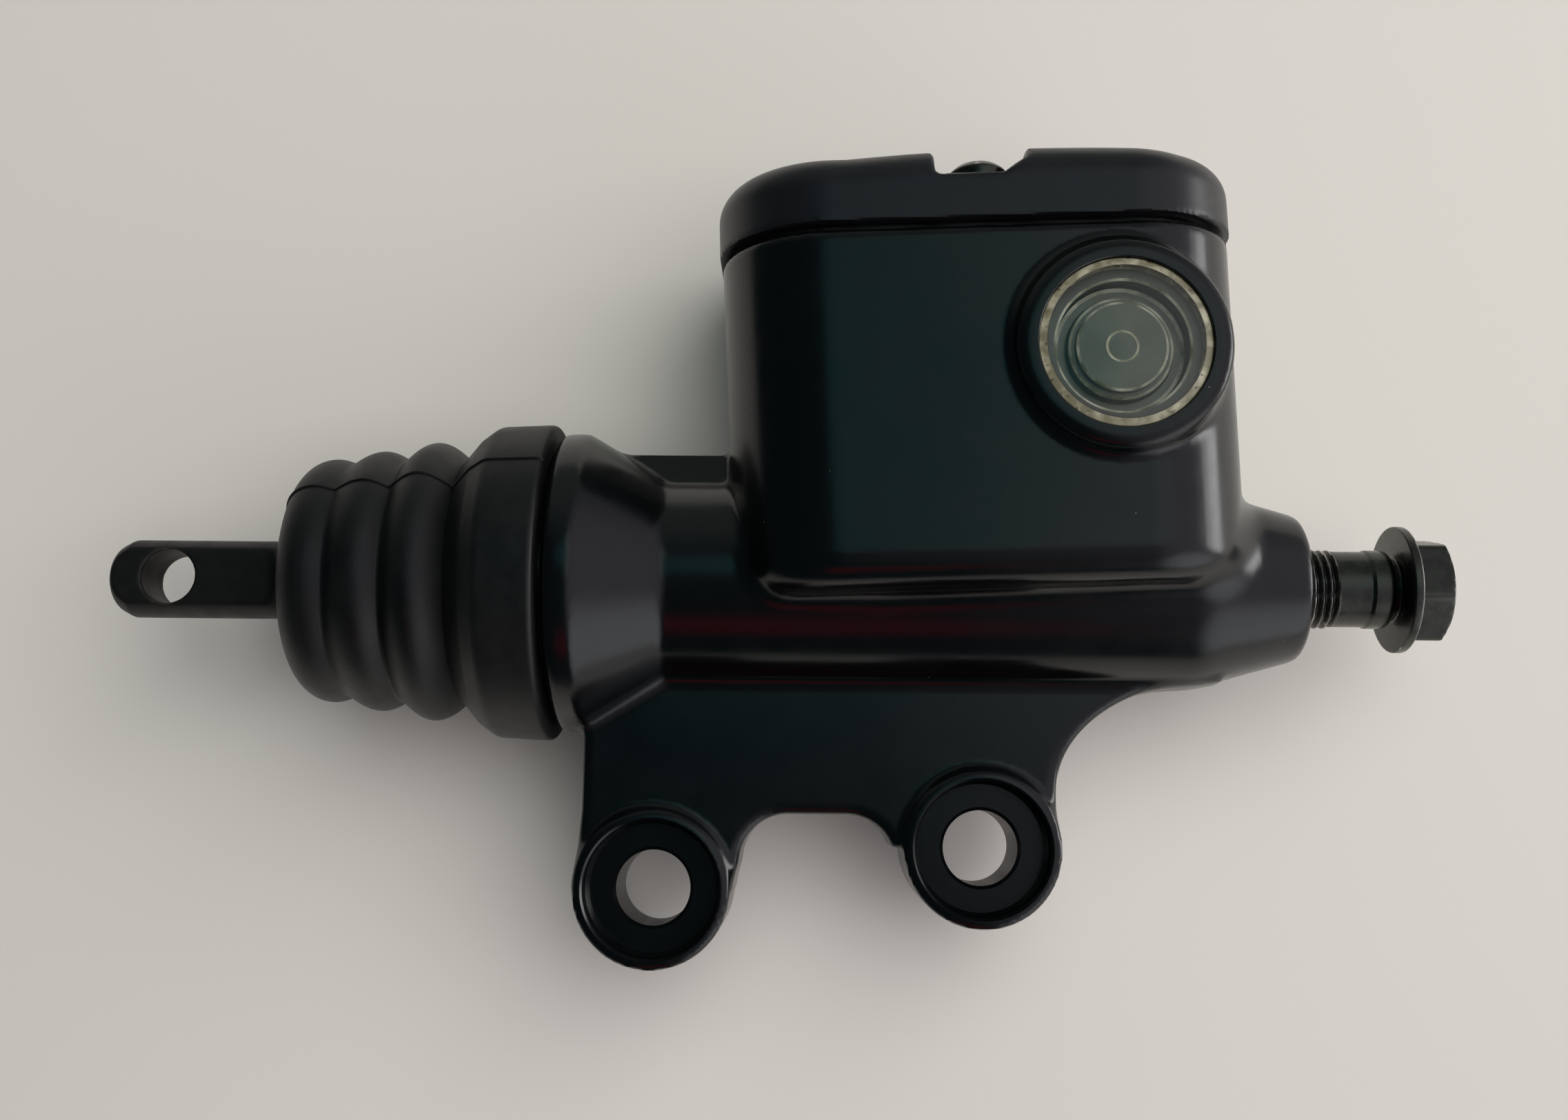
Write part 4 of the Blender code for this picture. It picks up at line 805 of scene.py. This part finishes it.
def rubberBoot():
    s = bootSizes
    rows = np.array(bootOuter())
    hard = rows[:, 1].copy()
    first, last = s["softRows"]
    rows[first:last, 1] = (hard[first - 1:last - 1] + 2 * hard[first:last] + hard[first + 1:last + 1]) / 4
    outer = [tuple(row) for row in rows]
    inner = [(s["end"] + s["wall"], s["hole"])]
    for along, radius in reversed(outer[s["innerRow"]:-1]):
        if along > s["end"] + s["wall"]:
            inner.append((along, min(radius - s["wall"], s["lip"][0][1])))
    boot = turned("rubberBoot", outer + inner, alongBore, 192, ring=True)
    smoothShade(boot, 50)
    seams = []
    for side in (1, -1):
        up, out = math.sin(s["seamTurn"]), side * math.cos(s["seamTurn"])
        line = [(along, radius * up, radius * out) for along, radius in outer[slice(*s["seamRows"])]]
        seam = wire("seam", line, s["seam"], alongBore, 1)
        seam.data.polygons.foreach_set("material_index", [1] * len(seam.data.polygons))
        seams.append(seam)
    mergeInto(boot, *seams)
    boot.data.materials.append(bootRubber)
    boot.data.materials.append(sealRubber)
    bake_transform(boot)
    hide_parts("boot")
    neck = turned("bootNeck", softPath(s["neck"], closed=True), alongBore, 96, ring=True)
    dress(smoothShade(neck), "push_rod", "boot_rubber", bootRubber)


rubberBoot()
print("boot made")

# Push rod: ball, neck, bar, flats and eye

rodSizes = {
    "pitch": 0.24,
    "room": ((-91.5, -6.2, -6.2), (-17.5, 6.2, 6.2)),
    "nose": [(-90.2, 0), (-89.3, 3.7, 6.5), (-86.9, 4.97, 0.8)],
    "bar": 4.97, "taper": 2.2, "neck": 3.9, "neckEnd": -47.0, "ball": 5.0,
    "flat": 3.6, "flatEnd": -67.6, "flatRound": 0.25, "runout": 1.6,
    "eyeX": -81.8, "eye": 3.4, "eyeRound": 0.35,
}


def rodBody(x, y, z):
    s = rodSizes
    bar = softPath(s["nose"] + [(s["neckEnd"] - s["taper"], s["bar"])], steps=10)
    bar.append((s["neckEnd"], s["neck"]))
    meet = 180 - math.degrees(math.asin(s["neck"] / s["ball"]))  # where the neck runs into the ball
    bar += arcPoints((layout["ballX"], 0), s["ball"], meet, 0, 24)
    body = turnedDistance(x, y, z, bar)
    for side in (1, -1):
        flat = roundedCorner(x - s["flatEnd"], s["flat"] - side * z, s["runout"])
        body = cutAway(body, flat, s["flatRound"])
    return cutAway(body, np.hypot(x - s["eyeX"], y) - s["eye"], s["eyeRound"])


pushRod = skinOf("forgedPushRod", rodBody, *rodSizes["room"], rodSizes["pitch"])
dress(pushRod, "push_rod", "phosphated_steel", phosphate, replaced=["push_rod"])
print("push rod made")

# Outlet bolt: thread, shank, band, undercut, flange and hexagon, each a radius for every x and angle

boltSizes = {
    "steps": 120, "tip": 48.3, "tipFace": 1.0, "tipCone": 0.8,
    "thread": 5.0, "pitch": 1.0, "depth": 0.6, "flank": 1.3, "crest": 0.12, "rowsPerPitch": 14,
    "threadEnd": 64.5, "fade": 0.5, "lastRow": 0.7, "shankFrom": 0.8, "shank": 4.78,
    "bandX": 68.9, "bandRise": 0.4, "band": 4.97, "bandEnd": 71.8, "undercut": 4.0,
    "flangeX": 72.8, "flange": 8.0, "flangeT": 1.2,
    "hexFlats": 12.0, "hexTurn": 44.0, "hexRoot": 1.0, "hexBlunt": 0.12,  # corners aren't knife sharp
    "top": 78.7,
    "crown": ((0.9, 9.0), (0.62, 6.75), (0.4, 6.4), (0.2, 6.0), (0.06, 5.65), (0, 5.4), (0, 2.5)),
    "drill": (46.0, 69.7, 2.0),
    "across": (-7.0, 0.0, 1.75),  # drilled from the back
    "acrossX": 67.4,
    "rubbed": {"crest": 0.12, "rim": (0.3, 0.04), "face": 0.25},
}


def threadRows(angle):
    s = boltSizes
    rows = [(s["tip"], np.full(s["steps"], s["thread"] - s["tipFace"]))]
    for x in np.arange(s["tip"], s["threadEnd"] + s["lastRow"], s["pitch"] / s["rowsPerPitch"]):
        phase = np.abs(((x / s["pitch"] - angle / 360) % 1) * 2 - 1)
        groove = np.clip(s["flank"] * phase - s["crest"], 0, 1) * s["depth"]
        limit = min(s["thread"], s["thread"] - s["tipCone"] + (x - s["tip"]))
        fade = np.clip((s["threadEnd"] - x) / s["fade"] + 1, 0, 1)
        crest = s["thread"] - groove
        rows.append((x, np.minimum(crest * fade + s["shank"] * (1 - fade), limit)))
    return rows


def hexRows(angle, flangeEnd):
    s = boltSizes
    half = s["hexFlats"] / 2
    hexagon = half / np.cos(np.radians((angle - s["hexTurn"]) % 60 - 30))
    hexagon = np.minimum(hexagon, half / math.cos(math.radians(30)) - s["hexBlunt"])
    rows = [(flangeEnd, hexagon)]
    for depth, limit in s["crown"]:  # below the top, and the turned radius there
        rows.append((s["top"] - depth, np.minimum(hexagon, limit)))
    return rows


def markRubbed(bolt):
    # the film has gone from the thread's crests and the flange's edge
    s, rubbed = boltSizes, boltSizes["rubbed"]
    x, radius = faceMiddles(bolt)[::2]
    crest = (x < s["threadEnd"]) & (radius > s["thread"] - rubbed["crest"])
    inner, outer = (s["flange"] - inset for inset in rubbed["rim"])
    rim = (x > s["flangeX"] + s["flangeT"] - rubbed["face"]) & (radius > inner) & (radius < outer)
    bolt.data.polygons.foreach_set("material_index", (crest | rim).astype(np.int32))


def outletBolt():
    s = boltSizes
    angle = np.linspace(0, 360, s["steps"], endpoint=False)
    flangeEnd = s["flangeX"] + s["flangeT"]
    collar = softPath([(s["threadEnd"] + s["shankFrom"], s["shank"]), (s["bandX"], s["shank"], 0.2),
                       (s["bandX"] + s["bandRise"], s["band"], 0.2), (s["bandEnd"], s["band"], 1.0),
                       (s["bandEnd"], s["undercut"], 0.2), (s["flangeX"], s["undercut"], 0.3),
                       (s["flangeX"], s["flange"], 0.25), (flangeEnd, s["flange"], 0.35),
                       (flangeEnd, s["hexFlats"] / 2 + s["hexRoot"])])
    rows = threadRows(angle)
    rows += [(x, np.full(s["steps"], radius)) for x, radius in collar]
    rows += hexRows(angle, flangeEnd)
    along = np.array([x for x, radius in rows]).reshape(-1, 1)
    bolt = polarSkin("outletBolt", along, np.array([radius for x, radius in rows]), alongBore)
    lengthwise = drillTool("lengthwise", s["drill"], alongBore, 48)
    at = Matrix.Translation((s["acrossX"], 0, 0))
    across = drillTool("across", s["across"], alongBore @ at @ turnToZ, 48)
    machine(bolt, lengthwise, across)
    smoothShade(bolt, 32)
    dress(bolt, "banjo_bolt", "black_steel", blackOxide, rubbedSteel, replaced=["banjo_bolt"])
    markRubbed(bolt)


outletBolt()
print("outlet bolt made")

# Return spring: a wire coil over the length of the model's spring

springSizes = {"wire": 0.65, "radius": 4.85, "turns": 8.5, "steps": 24}


def returnSpring():
    s = springSizes
    low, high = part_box("return_spring")
    start = (low.x - boreAxis.x) / mm + s["wire"]
    end = (high.x - boreAxis.x) / mm - s["wire"]
    count = round(s["turns"] * s["steps"])
    points = []
    for i in range(count + 1):
        angle = 2 * math.pi * s["turns"] * i / count
        points.append((start + (end - start) * i / count, s["radius"] * math.cos(angle),
                       s["radius"] * math.sin(angle)))
    coil = wire("coiledSpring", points, s["wire"], alongBore, 3)
    coil.data.materials.append(plainSteel)
    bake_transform(coil)
    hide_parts("return_spring")


returnSpring()

# The inner pieces keep their own shape and get their finish
for nodeName, finish in (("piston", anodised), ("primary_cup", sealRubber), ("secondary_cup", sealRubber),
                         ("spring_seat", plainSteel), ("stop_washer", plainSteel), ("snap_ring", plainSteel)):
    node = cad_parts[nodeName]
    node.data.materials.clear()
    node.data.materials.append(finish)
print("spring made, inner pieces finished")

# Floor, light and camera

studio = {
    "floor": {"size": 4.0, "colours": ("#dddcd3", "#e3dad6"), "drift": 160, "fleck": 1.5},
    "backdrop": ("#dedbd6", 0.26),
    "walls": ("#86b4c0", 0.075),
    "patches": (  # parts of the room: azimuth and elevation, width from full to none, colour, brightness
        (0, 20, (35, 73), "#e4deea", 0.64),
        (95, 10, (15, 60), "#dcebe6", 0.24),
        (40, 66, (6, 22), "#eaf6f4", 0.66),
        (8, 2, (2, 23), "#ffffff", 5.2),
        (-42, 15, (2, 34), "#f4f6fa", 1.35),
        (90, 76, (4, 14), "#97f8ff", 0.32),
        (-92, 36, (5, 15), "#ff5a70", 0.3),
    ),
    "softBox": {"at": (0.3, 0.15, 0.7), "size": 0.9, "watts": 5.75, "colour": "#fffdf9"},
    "focal": 2207.2, "imageWidth": 2274, "sensor": 36,  # the first two in the photograph's pixels
    "pan": 0.0167, "tilt": -0.1474, "roll": 0.011, "eye": (-0.9, -25.4, 192.4),
}


def paintedBoard():
    # white painted board: dead flat, with only a trace of shade and warmth across it
    look = studio["floor"]
    first, second = (hexColour(colour) for colour in look["colours"])
    material, tree, shader, place = newMaterial("paintedBoard")
    drift = addNode(tree, "TexNoise", {"Scale": perMm(look["drift"]), "Detail": 1}, {"Vector": place})
    tone = addNode(tree, "Mix", {"data_type": "RGBA", 6: first, 7: second}, {0: drift.outputs["Fac"]})
    fleck = addNode(tree, "TexNoise", {"Scale": perMm(look["fleck"]), "Detail": 3}, {"Vector": place})
    skin = addNode(tree, "Bump", {"Strength": 0.05, "Distance": 0.05 * mm}, {"Height": fleck.outputs["Fac"]})
    tree.links.new(tone.outputs[2], shader.inputs["Base Color"])
    tree.links.new(skin.outputs["Normal"], shader.inputs["Normal"])
    shader.inputs["Roughness"].default_value = 0.55
    return material


def floorSheet():
    half = studio["floor"]["size"] / 2
    corners = [(-half, -half, 0), (half, -half, 0), (half, half, 0), (-half, half, 0)]
    mesh = bpy.data.meshes.new("floor")
    mesh.from_pydata(corners, [], [(0, 1, 2, 3)])
    floor = bpy.data.objects.new("floor", mesh)
    bpy.context.scene.collection.objects.link(floor)
    floor.data.materials.append(paintedBoard())


def glowOf(colour, strength):
    return [value * strength for value in hexColour(colour)[:3]]


def softRoom():
    # what the coat mirrors: a dim room, brighter to the right; the eye itself sees a plain grey backdrop
    world = bpy.data.worlds.new("softRoom")
    bpy.context.scene.world = world
    world.use_nodes = True
    tree = world.node_tree
    towards = addNode(tree, "TexCoord").outputs["Generated"]
    walls = glowOf(*studio["walls"])
    layers = []
    for azimuth, elevation, widths, colour, strength in studio["patches"]:
        turn, rise = math.radians(azimuth), math.radians(elevation)
        direction = (math.cos(rise) * math.cos(turn), math.cos(rise) * math.sin(turn), math.sin(rise))
        full, none = (math.cos(math.radians(width)) for width in widths)
        facing = addNode(tree, "VectorMath", {"operation": "DOT_PRODUCT", 1: direction}, {0: towards})
        fade = addNode(tree, "MapRange", {"interpolation_type": "SMOOTHSTEP", 1: none, 2: full},
                       {0: facing.outputs["Value"]})
        layers.append(addNode(tree, "Mix", {"data_type": "VECTOR", 4: walls, 5: glowOf(colour, strength)},
                              {0: fade.outputs[0]}))
    seen = addNode(tree, "LightPath").outputs["Is Camera Ray"]
    layers.append(addNode(tree, "Mix", {"data_type": "VECTOR", 5: glowOf(*studio["backdrop"])}, {0: seen}))
    for under, over in zip(layers, layers[1:]):
        tree.links.new(under.outputs[1], over.inputs[4])
    tree.links.new(layers[-1].outputs[1], tree.nodes["Background"].inputs["Color"])


def softBox():
    # a wide lamp above lights the floor; the coat doesn't mirror it, as under a diffuser tent
    look = studio["softBox"]
    lamp = bpy.data.lights.new("softBox", "AREA")
    lamp.size = look["size"]
    lamp.energy = look["watts"]
    lamp.color = hexColour(look["colour"])[:3]
    box = bpy.data.objects.new("softBox", lamp)
    box.location = look["at"]
    box.rotation_euler = (-Vector(look["at"])).to_track_quat("-Z", "Y").to_euler()
    box.visible_glossy = False
    bpy.context.scene.collection.objects.link(box)


def photoCamera():
    lens = bpy.data.cameras.new("photoCamera")
    lens.sensor_width = studio["sensor"]
    lens.lens = studio["focal"] * studio["sensor"] / studio["imageWidth"]
    lens.clip_start = 1 * mm
    view = (Matrix.Rotation(studio["roll"], 3, "Z") @ Matrix.Rotation(studio["tilt"], 3, "X")
            @ Matrix.Rotation(studio["pan"], 3, "Y") @ Matrix.Diagonal((1, -1, -1)))
    camera = bpy.data.objects.new("photoCamera", lens)
    bpy.context.scene.collection.objects.link(camera)
    turn = Matrix((view[0], -view[1], -view[2])).transposed().to_4x4()
    camera.matrix_world = Matrix.Translation(alongBore @ Vector(studio["eye"])) @ turn
    bpy.context.scene.camera = camera


floorSheet()
softRoom()
softBox()
photoCamera()
bpy.context.scene.view_settings.view_transform = "Standard"
print("floor, light and camera made")
